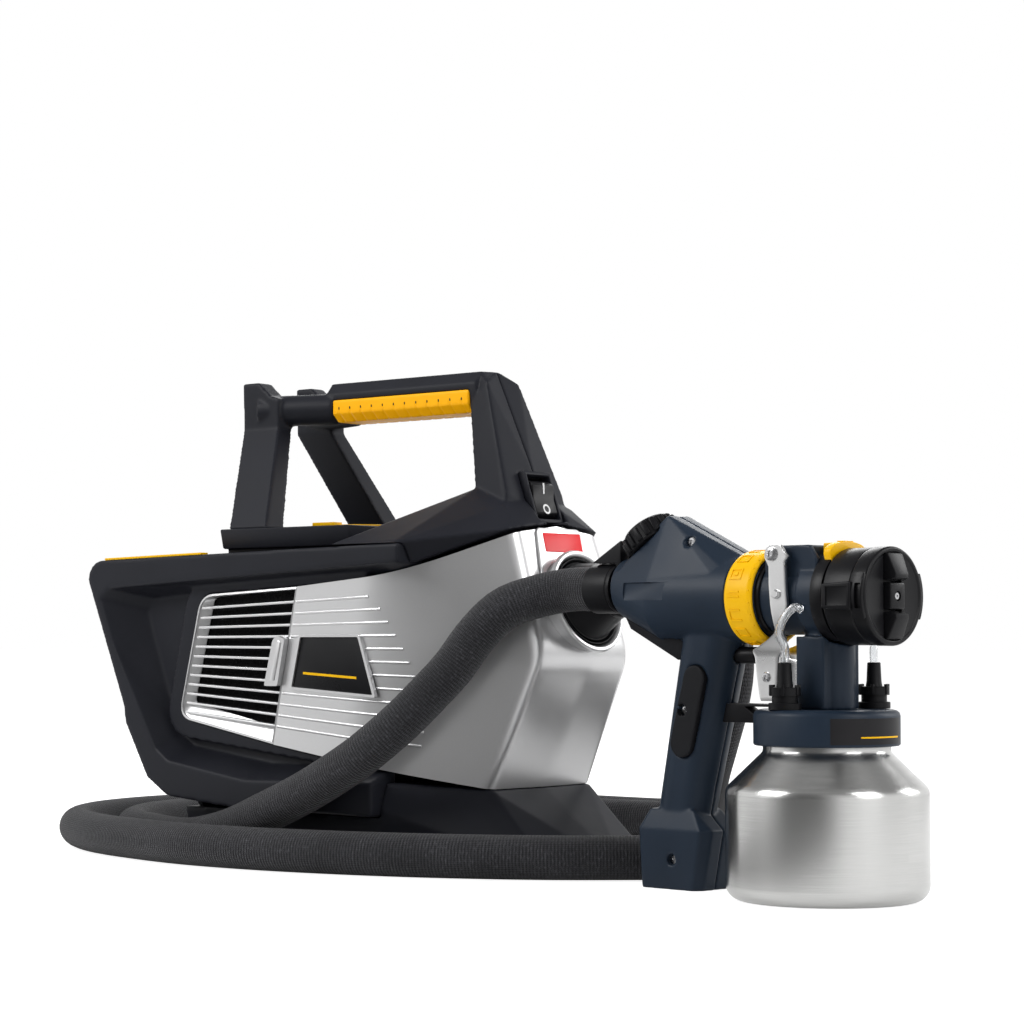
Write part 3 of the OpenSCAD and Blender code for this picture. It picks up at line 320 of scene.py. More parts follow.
def cup_metal():
    """Aluminium brushed round the cup."""
    made = brushed("cup_metal", (0.64, 0.64, 0.63), 0.22, (7, 1900, 1))
    made.set("Anisotropic", 0.7)
    made.set("Anisotropic Rotation", 0.25)
    return made.material


def trigger_metal():
    """Plated light alloy with a fine satin grain."""
    made = Finish("trigger_metal", (0.78, 0.78, 0.78), 0.30, 1.0)
    grain = made.noise(made.coordinates(), 1500.0, 2.0)
    slow = made.noise(made.coordinates(), 40.0, 2.0)
    made.to(made.ramp(slow, 0.3, 0.7, 0.26, 0.34), "Roughness")
    made.to(made.mix(grain, (0.72, 0.72, 0.72), (0.82, 0.82, 0.82)), "Base Color")
    made.bump(grain, 0.000006, 0.3)
    return made.material


def machined_steel():
    """Turned steel with fine tool marks."""
    made = Finish("machined_steel", (0.56, 0.56, 0.57), 0.25, 1.0)
    grain = made.noise(made.coordinates(), 700.0, 3.0)
    made.to(made.ramp(grain, 0.3, 0.7, 0.18, 0.34), "Roughness")
    made.bump(grain, 0.00002, 0.3)
    return made.material


def cast_alloy():
    """Blasted light alloy casting."""
    made = Finish("cast_alloy", (0.60, 0.60, 0.61), 0.45, 1.0)
    grain = made.noise(made.coordinates(), 450.0, 4.0)
    made.to(made.ramp(grain, 0.3, 0.7, 0.36, 0.55), "Roughness")
    made.bump(grain, 0.00006, 0.5)
    return made.material


def open_foam():
    """Black reticulated filter foam."""
    made = Finish("open_foam", (0.003, 0.003, 0.0035), 0.95)
    made.set("Specular IOR Level", 0.12)
    cells = made.node("ShaderNodeTexVoronoi", Scale=520.0)
    made.link(made.coordinates(), cells.inputs["Vector"])
    # painted shade: the sunk pores are painted darker than the raised struts between them
    made.to(made.mix(cells.outputs["Distance"], (0.001, 0.001, 0.001), (0.006, 0.006, 0.0065)),
            "Base Color")
    made.bump(cells.outputs["Distance"], 0.0008, 0.8)
    return made.material


def clear_tube():
    """Clear vent tube with a faint haze."""
    made = Finish("clear_tube", (0.96, 0.97, 0.98), 0.06)
    made.set("Transmission Weight", 0.92)
    made.set("IOR", 1.40)
    haze = made.noise(made.coordinates(), 160.0, 2.0)
    made.to(made.ramp(haze, 0.3, 0.7, 0.03, 0.14), "Roughness")
    return made.material


def woven_cover():
    """Ribbed woven sleeve: u runs round the hose and v along it in metres."""
    threads_round = 64
    made = Finish("woven_cover", paint("hose_dark"), 0.78)
    split = made.node("ShaderNodeSeparateXYZ")
    made.link(made.coordinates("UV"), split.inputs["Vector"])
    turn, run = split.outputs["X"], split.outputs["Y"]
    wobble = made.noise(made.coordinates("UV", (24, 160, 1)), 1.0, 2.0)
    pitch = sizes().hose_rib
    rib_phase = made.maths("ADD", made.maths("MULTIPLY", run, 2 * math.pi / pitch),
                           made.maths("MULTIPLY", wobble, 2.4))
    rib = made.maths("SINE", rib_phase)
    around = made.maths("MULTIPLY", turn, 2 * math.pi * threads_round)
    yarn = made.maths("SINE", made.maths("ADD", around, made.maths("MULTIPLY", rib, 0.9)))
    fleck = made.noise(made.coordinates("UV", (30, 900, 1)), 1.0, 3.0)
    patch = made.noise(made.coordinates("UV", (3, 26, 1)), 1.0, 3.0)
    height = made.maths("ADD", made.maths("MULTIPLY", rib, 0.6),
                        made.maths("MULTIPLY", yarn, 0.35))
    lit = made.maths("ADD", made.ramp(height, -0.9, 0.9, 0.0, 0.42),
                     made.ramp(fleck, 0.52, 0.78, 0.0, 0.75))
    lit = made.maths("MULTIPLY", lit, made.ramp(patch, 0.3, 0.7, 0.65, 1.25))
    made.to(made.mix(lit, paint("hose_dark"), paint("hose_light")), "Base Color")
    made.set("Sheen Weight", 0.12)
    made.set("Sheen Roughness", 0.5)
    made.set("Specular IOR Level", 0.25)
    made.bump(height, 0.00035, 0.9)
    return made.material


METALS_AND_SOFT_GOODS = {
    maker.__name__: maker
    for maker in (silver_lacquer, cup_metal, trigger_metal, machined_steel, cast_alloy,
                  open_foam, clear_tube, woven_cover)
}
FINISHES = {}


def finish(name):
    """The material of that name, made on its first use."""
    if name not in FINISHES:
        if name in MOULDED:
            base, roughness, other = MOULDED[name]
            base = paint(base) if isinstance(base, str) else base
            FINISHES[name] = moulded(name, base, roughness, **other)
        else:
            FINISHES[name] = METALS_AND_SOFT_GOODS[name]()
    return FINISHES[name]


def dress(material, *nodes):
    """Gives carried-over CAD nodes a material."""
    for node in nodes:
        mesh = frame["nodes"][node].data
        mesh.materials.clear()
        mesh.materials.append(finish(material))


# ---------------------------------------------------------------- shapes
def body_of_node(node):
    """Name of the body that a CAD node rides on."""
    return frame["nodes"][node].parent.name.removeprefix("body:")


def loose(bm, name):
    """A bmesh as a plain object that is not yet a piece."""
    mesh = bpy.data.meshes.new(name)
    bm.to_mesh(mesh)
    bm.free()
    made = bpy.data.objects.new(name, mesh)
    bpy.context.scene.collection.objects.link(made)
    return made


def mount(made, material, body, replaces=(), sharp=32.0):
    """Makes an object a finished piece that rides on a body, sharp above an angle."""
    bm = bmesh.new()
    bm.from_mesh(made.data)
    for edge in bm.edges:
        edge.smooth = edge.calc_face_angle(math.pi) < math.radians(sharp)
    for face in bm.faces:
        face.smooth = True
    bm.to_mesh(made.data)
    bm.free()
    made.data.materials.clear()
    made.data.materials.append(finish(material))
    if replaces:
        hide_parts(*replaces)
    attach(made, body)
    return made


def settle(bm, name, material, body, replaces=(), place=None, sharp=32.0):
    """Makes a bmesh a finished piece, moved to its place."""
    if place is not None:
        bmesh.ops.transform(bm, matrix=place, verts=bm.verts)
    return mount(loose(bm, name), material, body, replaces, sharp)


def bevel(bm, edges, width, segments=2):
    """Rounds edges of a bmesh."""
    bmesh.ops.bevel(bm, geom=edges, offset=width, affect="EDGES", segments=segments,
                    profile=0.5, material=-1, clamp_overlap=True)


def moved_verts(result):
    """Vertices among the geometry that an extrusion returns."""
    return [g for g in result["geom"] if isinstance(g, bmesh.types.BMVert)]


def outward(bm):
    """Closes seams and poles and turns every face outwards."""
    bmesh.ops.remove_doubles(bm, verts=bm.verts, dist=1e-3)
    bmesh.ops.recalc_face_normals(bm, faces=bm.faces)
    return bm


def rounded(points, radii, steps=4, closed=True):
    """Outline whose corners are turned into arcs; radii is one number or one per corner."""
    count = len(points)
    radii = [radii] * count if isinstance(radii, (int, float)) else radii
    out = []
    for i, corner in enumerate(points):
        here = Vector(corner)
        if radii[i] <= 0 or (not closed and i in (0, count - 1)):
            out.append(tuple(here))
            continue
        before = Vector(points[i - 1]) - here
        after = Vector(points[(i + 1) % count]) - here
        reach = min(radii[i], before.length * 0.48, after.length * 0.48)
        start, end = here + before.normalized() * reach, here + after.normalized() * reach
        out += [tuple(p) for p in bend(start, here, end, steps)]
    return out


def bend(start, corner, end, steps):
    """Points of the soft curve from start to end that turns at corner."""
    return [start * (1 - t) ** 2 + corner * 2 * t * (1 - t) + end * t ** 2
            for t in (k / steps for k in range(steps + 1))]


def slab(outline, low, high, plane="XZ", rim=0.0, segments=3, both=True):
    """Prism of an outline, with the rims of both its ends or of its high end rounded."""
    bm = bmesh.new()
    put = {"XZ": lambda a, b, c: (a, c, b), "XY": lambda a, b, c: (a, b, c),
           "YZ": lambda a, b, c: (c, a, b)}[plane]
    face = bm.faces.new([bm.verts.new(put(a, b, low)) for a, b in outline])
    raised = bmesh.ops.extrude_face_region(bm, geom=[face])
    bmesh.ops.translate(bm, vec=put(0, 0, high - low), verts=moved_verts(raised))
    bmesh.ops.recalc_face_normals(bm, faces=bm.faces)
    if rim > 0:
        axis = put(0, 0, 1).index(1)
        rims = [e for e in bm.edges
                if abs(e.verts[0].co[axis] - e.verts[1].co[axis]) < 1e-6
                and (both or abs(e.verts[0].co[axis] - high) < 1e-6)]
        bevel(bm, rims, rim, segments)
    return bm


def plate(outer, inner, rim):
    """Closed plate between two grids of points, with its rims rounded."""
    bm = bmesh.new()
    skins = [[[bm.verts.new(p) for p in row] for row in grid] for grid in (outer, inner)]
    for grid in skins:
        for a, b in zip(grid, grid[1:]):
            for k in range(len(a) - 1):
                bm.faces.new((a[k], a[k + 1], b[k + 1], b[k]))
    loops = [grid[0] + [row[-1] for row in grid[1:-1]] + grid[-1][::-1]
             + [row[0] for row in grid[-2:0:-1]] for grid in skins]
    for k in range(len(loops[0])):
        bm.faces.new((loops[0][k - 1], loops[0][k], loops[1][k], loops[1][k - 1]))
    bmesh.ops.recalc_face_normals(bm, faces=bm.faces)
    bevel(bm, [e for e in bm.edges if e.calc_face_angle(0) > math.radians(50)], rim)
    return bm


def lathe(profile, steps=72):
    """Turns (x, radius) points about the X axis."""
    bm = bmesh.new()
    verts = [bm.verts.new((x, 0, max(r, 0.0))) for x, r in profile]
    edges = [bm.edges.new(pair) for pair in zip(verts, verts[1:])]
    bmesh.ops.spin(bm, geom=verts + edges, cent=(0, 0, 0), axis=(1, 0, 0), dvec=(0, 0, 0),
                   angle=2 * math.pi, steps=steps, use_merge=True, use_normal_flip=False,
                   use_duplicate=False)
    return outward(bm)


def ring_profile(points, radius, steps=3):
    """Closed lathe profile with rounded corners."""
    out = rounded(points, radius, steps)
    return out + [out[0]]


def upright():
    """Turns the lathe's X axis to Z."""
    return Matrix.Rotation(-math.pi / 2, 4, "Y")


def join(bm, other, place=None):
    """Adds another bmesh to bm and frees it."""
    if place is not None:
        bmesh.ops.transform(other, matrix=place, verts=other.verts)
    mesh = bpy.data.meshes.new("part")
    other.to_mesh(mesh)
    other.free()
    bm.from_mesh(mesh)
    bpy.data.meshes.remove(mesh)
    return bm


def block(x0, x1, y0, y1, z0, z1, rim=0.0, segments=2):
    """Box between two corners with rounded edges."""
    bm = bmesh.new()
    bmesh.ops.create_cube(bm, size=1.0)
    bmesh.ops.scale(bm, vec=(x1 - x0, y1 - y0, z1 - z0), verts=bm.verts)
    bmesh.ops.translate(bm, vec=((x0 + x1) / 2, (y0 + y1) / 2, (z0 + z1) / 2), verts=bm.verts)
    if rim > 0:
        bevel(bm, bm.edges[:], rim, segments)
    return bm


def screw(radius, depth=1.2, slot_width=0.9):
    """Domed screw head on the X axis, its top at x = 0, with a star recess."""
    head = lathe([(-depth - 1.5, 0), (-depth - 1.5, radius), (-0.6, radius), (-0.1, radius * 0.8),
                  (0, radius * 0.48), (-0.9, radius * 0.36), (-0.9, 0)], 24)
    for turn in range(3):
        bar = block(-0.9, -0.35, -radius * 0.46, -radius * 0.28,
                    -slot_width / 2, slot_width / 2, 0.1)
        join(head, bar, Matrix.Rotation(turn * 2 * math.pi / 3, 4, "X"))
    return head


def merged_copy(node):
    """A CAD node's mesh as one closed bmesh."""
    bm = bmesh.new()
    bm.from_mesh(frame["nodes"][node].data)
    bmesh.ops.remove_doubles(bm, verts=bm.verts, dist=1e-6)
    bmesh.ops.dissolve_degenerate(bm, edges=bm.edges, dist=1e-6)
    return bm


def edged(node, material, width):
    """Stands for a CAD node with a copy whose sharp edges are rounded, by a width in mm."""
    bm = merged_copy(node)
    bmesh.ops.dissolve_limit(bm, angle_limit=math.radians(1.0), verts=bm.verts, edges=bm.edges)
    bevel(bm, [e for e in bm.edges if e.calc_face_angle(0) > math.radians(30)], width * MM)
    bmesh.ops.triangulate(bm, faces=[f for f in bm.faces if len(f.verts) > 4])
    settle(bm, node + "_finished", material, body_of_node(node), (node,), sharp=24.0)


def baked(obj):
    """Replaces an object's mesh by its modifiers' result."""
    bpy.context.view_layer.update()
    graph = bpy.context.evaluated_depsgraph_get()
    mesh = bpy.data.meshes.new_from_object(obj.evaluated_get(graph))
    obj.modifiers.clear()
    old, obj.data = obj.data, mesh
    bpy.data.meshes.remove(old)


def cut(obj, cutters):
    """Takes closed bmeshes out of an object's mesh."""
    for bm in cutters:
        cutter = loose(bm, "cutter")
        change = obj.modifiers.new("cut", "BOOLEAN")
        change.operation = "DIFFERENCE"
        change.solver = "EXACT"
        change.object = cutter
        baked(obj)
        bpy.data.objects.remove(cutter)
    return obj


def carved(bm, cutter):
    """A bmesh with a closed bmesh taken out of it."""
    made = cut(loose(bm, "carved"), [cutter])
    out = bmesh.new()
    out.from_mesh(made.data)
    bpy.data.objects.remove(made)
    return out


def mirrored(bm, sign):
    """Puts what is drawn for the case's left side there, or turned to its right side."""
    bmesh.ops.transform(bm, matrix=CASE @ Matrix.Diagonal((1, sign, 1, 1)), verts=bm.verts)
    if sign < 0:
        bmesh.ops.reverse_faces(bm, faces=bm.faces)
    return bm


def moulded_shell(node, material, voxel, rounds, keep, shape=None, cutters=()):
    """Stands for a CAD node with a copy whose edges and joins are melted round.

    Keep is the share of its faces that stays, and shape is a last change of the bmesh.
    """
    made = loose(merged_copy(node), node + "_moulded")
    remesh = made.modifiers.new("remesh", "REMESH")
    remesh.mode = "VOXEL"
    remesh.voxel_size = voxel
    smooth = made.modifiers.new("smooth", "SMOOTH")
    smooth.factor = 0.5
    smooth.iterations = rounds
    baked(made)
    if shape is not None:
        bm = bmesh.new()
        bm.from_mesh(made.data)
        shape(bm)
        bm.to_mesh(made.data)
        bm.free()
    fewer = made.modifiers.new("fewer", "DECIMATE")
    fewer.ratio = keep
    baked(made)
    cut(made, cutters)
    mount(made, material, body_of_node(node), (node,), 40.0)


def smooth_route(points, step):
    """Even points on the smooth curve through a list of places."""
    ends = [points[0] * 2 - points[1]] + points + [points[-1] * 2 - points[-2]]
    dense = []
    for a, b, c, d in zip(ends, ends[1:], ends[2:], ends[3:]):
        parts = max(2, int((c - b).length / step * 4))
        for k in range(parts):
            t = k / parts
            dense.append(0.5 * (2 * b + (c - a) * t + (2 * a - 5 * b + 4 * c - d) * t ** 2
                                + (3 * b - a - 3 * c + d) * t ** 3))
    dense.append(points[-1])
    even, walked = [dense[0]], 0.0
    for here, there in zip(dense, dense[1:]):
        walked += (there - here).length
        if walked >= step:
            even.append(there)
            walked = 0.0
    if (even[-1] - dense[-1]).length < step * 0.5:
        even.pop()
    return even + [dense[-1]]


def tube(route, radius, sides):
    """Rod along a route with a UV map: u round it, v its run in the route's unit."""
    bm = bmesh.new()
    layer = bm.loops.layers.uv.new("UVMap")
    rings, run, across = [], [0.0], Vector((0, 0, 1))
    for i, here in enumerate(route):
        if i:
            run.append(run[-1] + (here - route[i - 1]).length)
        ahead = (route[min(i + 1, len(route) - 1)] - route[max(i - 1, 0)]).normalized()
        across = (across - ahead * across.dot(ahead)).normalized()
        up = ahead.cross(across)
        rings.append([bm.verts.new(here + (across * math.cos(a) + up * math.sin(a)) * radius)
                      for a in (2 * math.pi * k / sides for k in range(sides))])
    for i in range(len(rings) - 1):
        for k in range(sides):
            n = (k + 1) % sides
            face = bm.faces.new((rings[i][k], rings[i][n], rings[i + 1][n], rings[i + 1][k]))
            marks = ((k, i), (k + 1, i), (k + 1, i + 1), (k, i + 1))
            for loop, (u, v) in zip(face.loops, marks):
                loop[layer].uv = (u / sides, run[v])
    bm.faces.new(rings[0][::-1])
    bm.faces.new(rings[-1])
    return bm


# ---------------------------------------------------------------- hose
HOSE_ROUTE = [
    (178.2, -46.1, 182), (158, -44.7, 182), (138, -52, 178.5), (119.5, -67, 170),
    (105, -77.5, 153), (94, -87, 133), (82, -97, 116), (68, -106.5, 99), (50, -112, 84),
    (29, -113, 71), (-10, -112, 52), (-50, -111, 36), (-92, -106.5, 22), (-139, -98, 14),
    (-192, -83, 14), (-248, -50, 14), (-290, 8, 14), (-304, 80, 14), (-282, 152, 14),
    (-222, 212, 14), (-140, 244, 14), (-40, 256, 14), (70, 258, 14), (165, 248, 14),
    (238, 210, 14), (276, 152, 14), (281, 82, 14), (255, 20, 14), (209, -21, 14),
    (150, -70, 14), (75, -108, 14), (-10, -131, 14), (-90, -137, 14), (-160, -127, 14),
    (-229, -106, 14), (-291, -66, 14), (-332, -4, 14), (-346, 75, 14), (-326, 160, 14),
    (-272, 232, 14), (-190, 272, 14), (-100, 285, 14), (0, 291, 14), (72, 296, 19),
    (121, 280, 34), (152, 247, 44), (170, 204, 38), (180, 165, 25), (185, 130, 16),
    (188, 95, 18), (193, 63, 27), (203, 36, 41), (219, 14, 60), (237, -1, 84),
    (250, -8, 109), (255, -9, 132), (252, -8, 151), (236, -5, 176), (209, -1, 191),
    (178, 0, 189.5), (164.2, 0, 185.1)]


class SPRAYER_OT_hose(bpy.types.Operator):
    """Lay the woven air hose and fit its two cuffs"""

    bl_idname = "sprayer.hose"
    bl_label = "Hose and cuffs"

    def execute(self, context):
        route = smooth_route([CASE @ Vector(p) for p in HOSE_ROUTE], 6 * MM)
        radius = sizes().hose_radius - 0.1 * MM
        hose = settle(tube(route, radius, 28), "woven_hose", "woven_cover", "sprayer",
                      ("hose",), sharp=60)
        cone = self.case_cuff()
        ferrule = self.gun_cuff()
        return {"FINISHED"}

    def case_cuff(self):
        """Black cone with grip steps that stands in the socket."""
        profile = [(-20, 11.2), (-20, 26.8), (8, 26.8), (8.2, 26.0), (30, 18.6), (31, 19.2),
                   (34, 19.2), (35, 17.9), (38.5, 16.8), (40, 15.9), (40, 14.3), (39, 11.2)]
        cone = lathe(ring_profile(profile, 0.8, 2), 64)
        lean = (Matrix.Translation((0, 0, 26)) @ Matrix.Rotation(math.radians(18.6), 4, "Y")
                @ Matrix.Translation((0, 0, -19.9)))
        for k in range(12):
            rib = block(10, 29, -0.8, 0.8, 15.5, 16.4, 0.3)
            bmesh.ops.transform(rib, matrix=lean, verts=rib.verts)
            join(cone, rib, Matrix.Rotation(math.radians(30 * k), 4, "X"))
        return settle(cone, "case_cuff", "black_plastic", "sprayer",
                      ("hose_cuff_unit",), SOCKET)

    def gun_cuff(self):
        """Smooth black ferrule at the gun."""
        profile = [(-179, 14.1), (-179, 15.0), (-178.2, 15.5), (-160, 15.5), (-159.4, 15.1),
                   (-158.8, 15.5), (-156.4, 15.5), (-156.4, 13.1), (-170, 13.1)]
        ring = lathe(ring_profile(profile, 0.3, 2), 56)
        return settle(ring, "gun_cuff", "black_plastic", "sprayer",
                      ("hose_cuff_gun",), AXIS @ Matrix.Translation((0, 0, 7)))


# ---------------------------------------------------------------- case
# heights in mm of the top and the bottom slat line, at the rear and at the seam
SLAT_REAR_X, SLAT_REAR = -168, (171, 101)
SLAT_SEAM_X, SLAT_SEAM = -45, (176, 90)


def slat_line(share):
    """Height at the seam and slope of the slat line that lies a share of the way down."""
    rear, seam = (top + (bottom - top) * share for top, bottom in (SLAT_REAR, SLAT_SEAM))
    return seam, (seam - rear) / (SLAT_SEAM_X - SLAT_REAR_X)


class SPRAYER_OT_case_shells(bpy.types.Operator):
    """Round the dark shells of the case and its handle"""

    bl_idname = "sprayer.case_shells"
    bl_label = "Case shells"

    def execute(self, context):
        voxel = sizes().case_voxel
        for node in ("side_frame_right", "side_frame_left"):
            moulded_shell(node, "charcoal_plastic", voxel, 7, 0.3)
        for node in ("handle_right", "handle_left"):
            moulded_shell(node, "charcoal_plastic", voxel * 0.85, 5, 0.3)
        moulded_shell("base_pan", "charcoal_plastic", voxel * 1.3, 2, 0.25)
        edged("top_deck", "charcoal_plastic", 1.2)
        edged("rear_panel", "charcoal_plastic", 0.5)
        edged("cord_inlet", "black_plastic", 0.8)
        edged("deck_strips", "yellow_plastic", 0.4)
        edged("rubber_feet", "soft_rubber", 0.8)
        dress("open_foam", "filter_foams")
        dress("machined_steel", "case_screws")
        return {"FINISHED"}


class SPRAYER_OT_silver_cover(bpy.types.Operator):
    """Shape the silver front cover with its ribs and its front panel"""

    bl_idname = "sprayer.silver_cover"
    bl_label = "Silver cover"

    wall = 2.5
    ridge_reach = 13.0
    lower = [(-69, 86, 79.4), (30, 86, 65), (94.5, 52, 53.5), (98, 0, 53.5)]
    ridge = [(-56.5, 86, 140), (38, 86, 140), (133, 48, 140), (139, 0, 140)]
    upper = [(-47, 86, 186), (46, 85.5, 194), (108, 42, 220), (108, 0, 225)]
    rib_ends = (18, 27.5, 33.5, 39, 44.5, 49, 52.5, 55.5, 57.5, 58, 57, 55)
    rib_steps = 14
    rib_radius = 1.1 * MM
    rib_sunk = 0.4 * MM

    def execute(self, context):
        cover = self.shell()
        self.ribs(cover)
        self.front_panel()
        return {"FINISHED"}

    def around(self, corners):
        """Half outline from seam to middle, with its side crease and nose corner rounded."""
        seam, crease, corner, middle = (Vector(c) for c in corners)
        reach = sizes().cover_round / MM
        before, after = crease + (seam - crease).normalized() * 34, crease.lerp(corner, 0.5)
        start = corner + (crease - corner).normalized() * reach
        end = corner + (middle - corner).normalized() * reach
        out = [seam.lerp(before, k / 8) for k in range(8)] + bend(before, crease, after, 14)
        out += [after.lerp(start, k / 8) for k in range(1, 8)] + bend(start, corner, end, 8)
        return out + [end.lerp(middle, k / 6) for k in range(1, 7)]

    def grid(self):
        """Outer skin in columns from its lower edge over the ridge to its upper edge."""
        columns = []
        lines = [self.around(corners) for corners in (self.lower, self.ridge, self.upper)]
        for low, ridge, high in zip(*lines):
            under = ridge + (low - ridge).normalized() * self.ridge_reach
            over = ridge + (high - ridge).normalized() * self.ridge_reach
            columns.append([low.lerp(under, k / 8) for k in range(8)] + bend(under, ridge, over, 8)
                           + [over.lerp(high, k / 8) for k in range(1, 9)])
        return columns

    def shell(self):
        """Walled cover on both sides of the middle, open at the rear, with its socket hole."""
        columns = self.grid()
        count = len(columns)
        bm = bmesh.new()
        near = [[bm.verts.new(p) for p in column] for column in columns]
        far = [[bm.verts.new((p.x, -p.y, p.z)) for p in column] for column in columns[:-1]]
        ring = near + far[::-1]
        for left, right in zip(ring, ring[1:]):
            for k in range(len(left) - 1):
                bm.faces.new((left[k], left[k + 1], right[k + 1], right[k]))
        for row, first in ((0, 36.3), (-1, 52.3)):
            for i in range(count - 2):
                if columns[i][row].x > first:
                    bm.faces.new((near[i][row], near[i + 1][row], far[i + 1][row], far[i][row]))
            bm.faces.new((near[-2][row], near[-1][row], far[-1][row]))
        bmesh.ops.recalc_face_normals(bm, faces=bm.faces)
        bmesh.ops.solidify(bm, geom=bm.faces[:], thickness=self.wall)
        bmesh.ops.recalc_face_normals(bm, faces=bm.faces)
        cover = loose(bm, "front_cover")
        hole = lathe([(-40, 0), (-40, 32), (30, 32), (30, 0)], 64)
        bmesh.ops.transform(hole, matrix=CASE.inverted() @ SOCKET, verts=hole.verts)
        cut(cover, [hole])
        cover.data.transform(CASE)
        return mount(cover, "silver_lacquer", "sprayer", ("front_shroud",), 30.0)

    def ribs(self, cover):
        """Raised ribs that carry the slats' lines forward over the cover."""
        bm = bmesh.new()
        bm.from_mesh(cover.data)
        surface = BVHTree.FromBMesh(bm)
        bm.free()
        made = bmesh.new()
        for side in SIDES.values():
            for i, end in enumerate(self.rib_ends):
                seam, slope = slat_line(i / (len(self.rib_ends) - 1))
                start = -69 + (seam - 79.4) / 106.6 * 22 + 1.5
                if 3 < i < 8:
                    start = 13.5 + (i - 3) * 2.6
                route = []
                for k in range(self.rib_steps + 1):
                    x = start + (end - start) * k / self.rib_steps
                    ray = CASE @ Vector((x, side * 140, seam + slope * (x - SLAT_SEAM_X)))
                    hit = surface.ray_cast(ray, Vector((0, -side, 0)))[0]
                    if hit is not None:
                        route.append(hit - Vector((0, side * self.rib_sunk, 0)))
                if len(route) > 3:
                    join(made, tube(route, self.rib_radius, 12))
        settle(made, "cover_ribs", "silver_lacquer", "sprayer", sharp=60)

    def front_panel(self):
        """Thin raised panel round the red plate, running down to the hose socket."""
        half = [(20.5, 53.5), (23, 51), (29.5, 20), (31, 8)]
        outline = rounded([(-y, z) for y, z in half[::-1]] + half, 2.0, 3)
        panel = slab(outline, -1.2, 0.7, "YZ", 0.6, 3)
        hole = lathe([(-9, 0), (-9, 33), (9, 33), (9, 0)], 64)
        settle(carved(panel, hole), "front_panel", "silver_lacquer", "sprayer",
               place=NOSE, sharp=26.0)


class SPRAYER_OT_side_covers(bpy.types.Operator):
    """Make the slatted side covers and their clips"""

    bl_idname = "sprayer.side_covers"
    bl_label = "Side covers"

    corners = [(-69.4, 79.6), (-47.4, 185.8), (-141.4, 181.3), (-163.0, 96.2)]
    slats = 12

    def execute(self, context):
        for side, sign in SIDES.items():
            self.cover(side, sign)
            self.clip(side, sign)
        return {"FINISHED"}

    def cover(self, side, sign):
        """Frame in steps from its outer rim to its inner rim, filled with slats."""
        outline = rounded(self.corners, [1.0, 1.0, 12.0, 12.0], 8)
        inner = rounded(self.inset((0.9, 11.0), (-1.7, -1.6), (9.0, -1.6), (11.5, 10.0)),
                        [1.0, 1.0, 5.0, 5.0], 8)
        lip = rounded(self.inset((-1.0, 1.5), (-1.2, -1.4), (1.1, -1.4), (1.7, 1.3)),
                      [1.0, 1.0, 11.0, 11.0], 8)
        bm = bmesh.new()
        loops = []
        for points, depth in ((outline, 80.2), (outline, 85.6), (lip, 86.0), (lip, 84.6),
                              (inner, 80.8), (inner, 80.2)):
            loops.append([bm.verts.new((x, depth, z)) for x, z in points])
        for a, b in zip(loops, loops[1:] + loops[:1]):
            for k in range(len(a)):
                n = (k + 1) % len(a)
                bm.faces.new((a[k], a[n], b[n], b[k]))
        bmesh.ops.recalc_face_normals(bm, faces=bm.faces)
        for i in range(self.slats):
            join(bm, self.slat(i / (self.slats - 1)))
        settle(mirrored(bm, sign), f"slatted_cover_{side}", "silver_lacquer",
               f"vent_door_{side}", (f"vent_cover_{side}",), sharp=35)

    def inset(self, *steps):
        """Corners of the cover moved by one step each."""
        return [(x + dx, z + dz) for (x, z), (dx, dz) in zip(self.corners, steps)]

    def slat(self, share):
        """One slat across the frame, with its outer edges rounded."""
        seam, slope = slat_line(share)

        def height_at(x):
            return seam + slope * (x - SLAT_SEAM_X)

        rear = -163.0 + (height_at(-150) - 96.2) / 85.1 * 21.6 + 4.2
        rear += 1.5 * max(0, share - 0.8) * 10
        front = -69.4 + (seam - 79.6) / 106.2 * 22 - 0.9
        half = sizes().slat_height / MM / 2
        bar = slab([(rear, height_at(rear) - half), (front, height_at(front) - half),
                    (front, height_at(front) + half), (rear, height_at(rear) + half)],
                   82.6, 85.9)
        bevel(bar, [e for e in bar.edges if abs(e.verts[0].co.x - e.verts[1].co.x) > 10
                    and min(v.co.y for v in e.verts) > 85], 0.7, 3)
        return bar

    def clip(self, side, sign):
        """Latch on the cover's front edge, with a raised pull."""
        outline = rounded([(-74, 119), (-61.4, 119), (-54.6, 151), (-62, 153), (-66, 150)], 1.5, 3)
        body = slab(outline, 86.1, 90.4, "XZ", 0.8, 3, both=False)
        pull = slab(rounded([(-68.5, 122.5), (-64, 122.5), (-57.6, 149), (-61.5, 150)], 1.2, 3),
                    90.0, 90.9, "XZ", 0.4, 2)
        settle(mirrored(join(body, pull), sign), f"latch_{side}", "silver_lacquer",
               f"vent_door_{side}", (f"clip_{side}",))


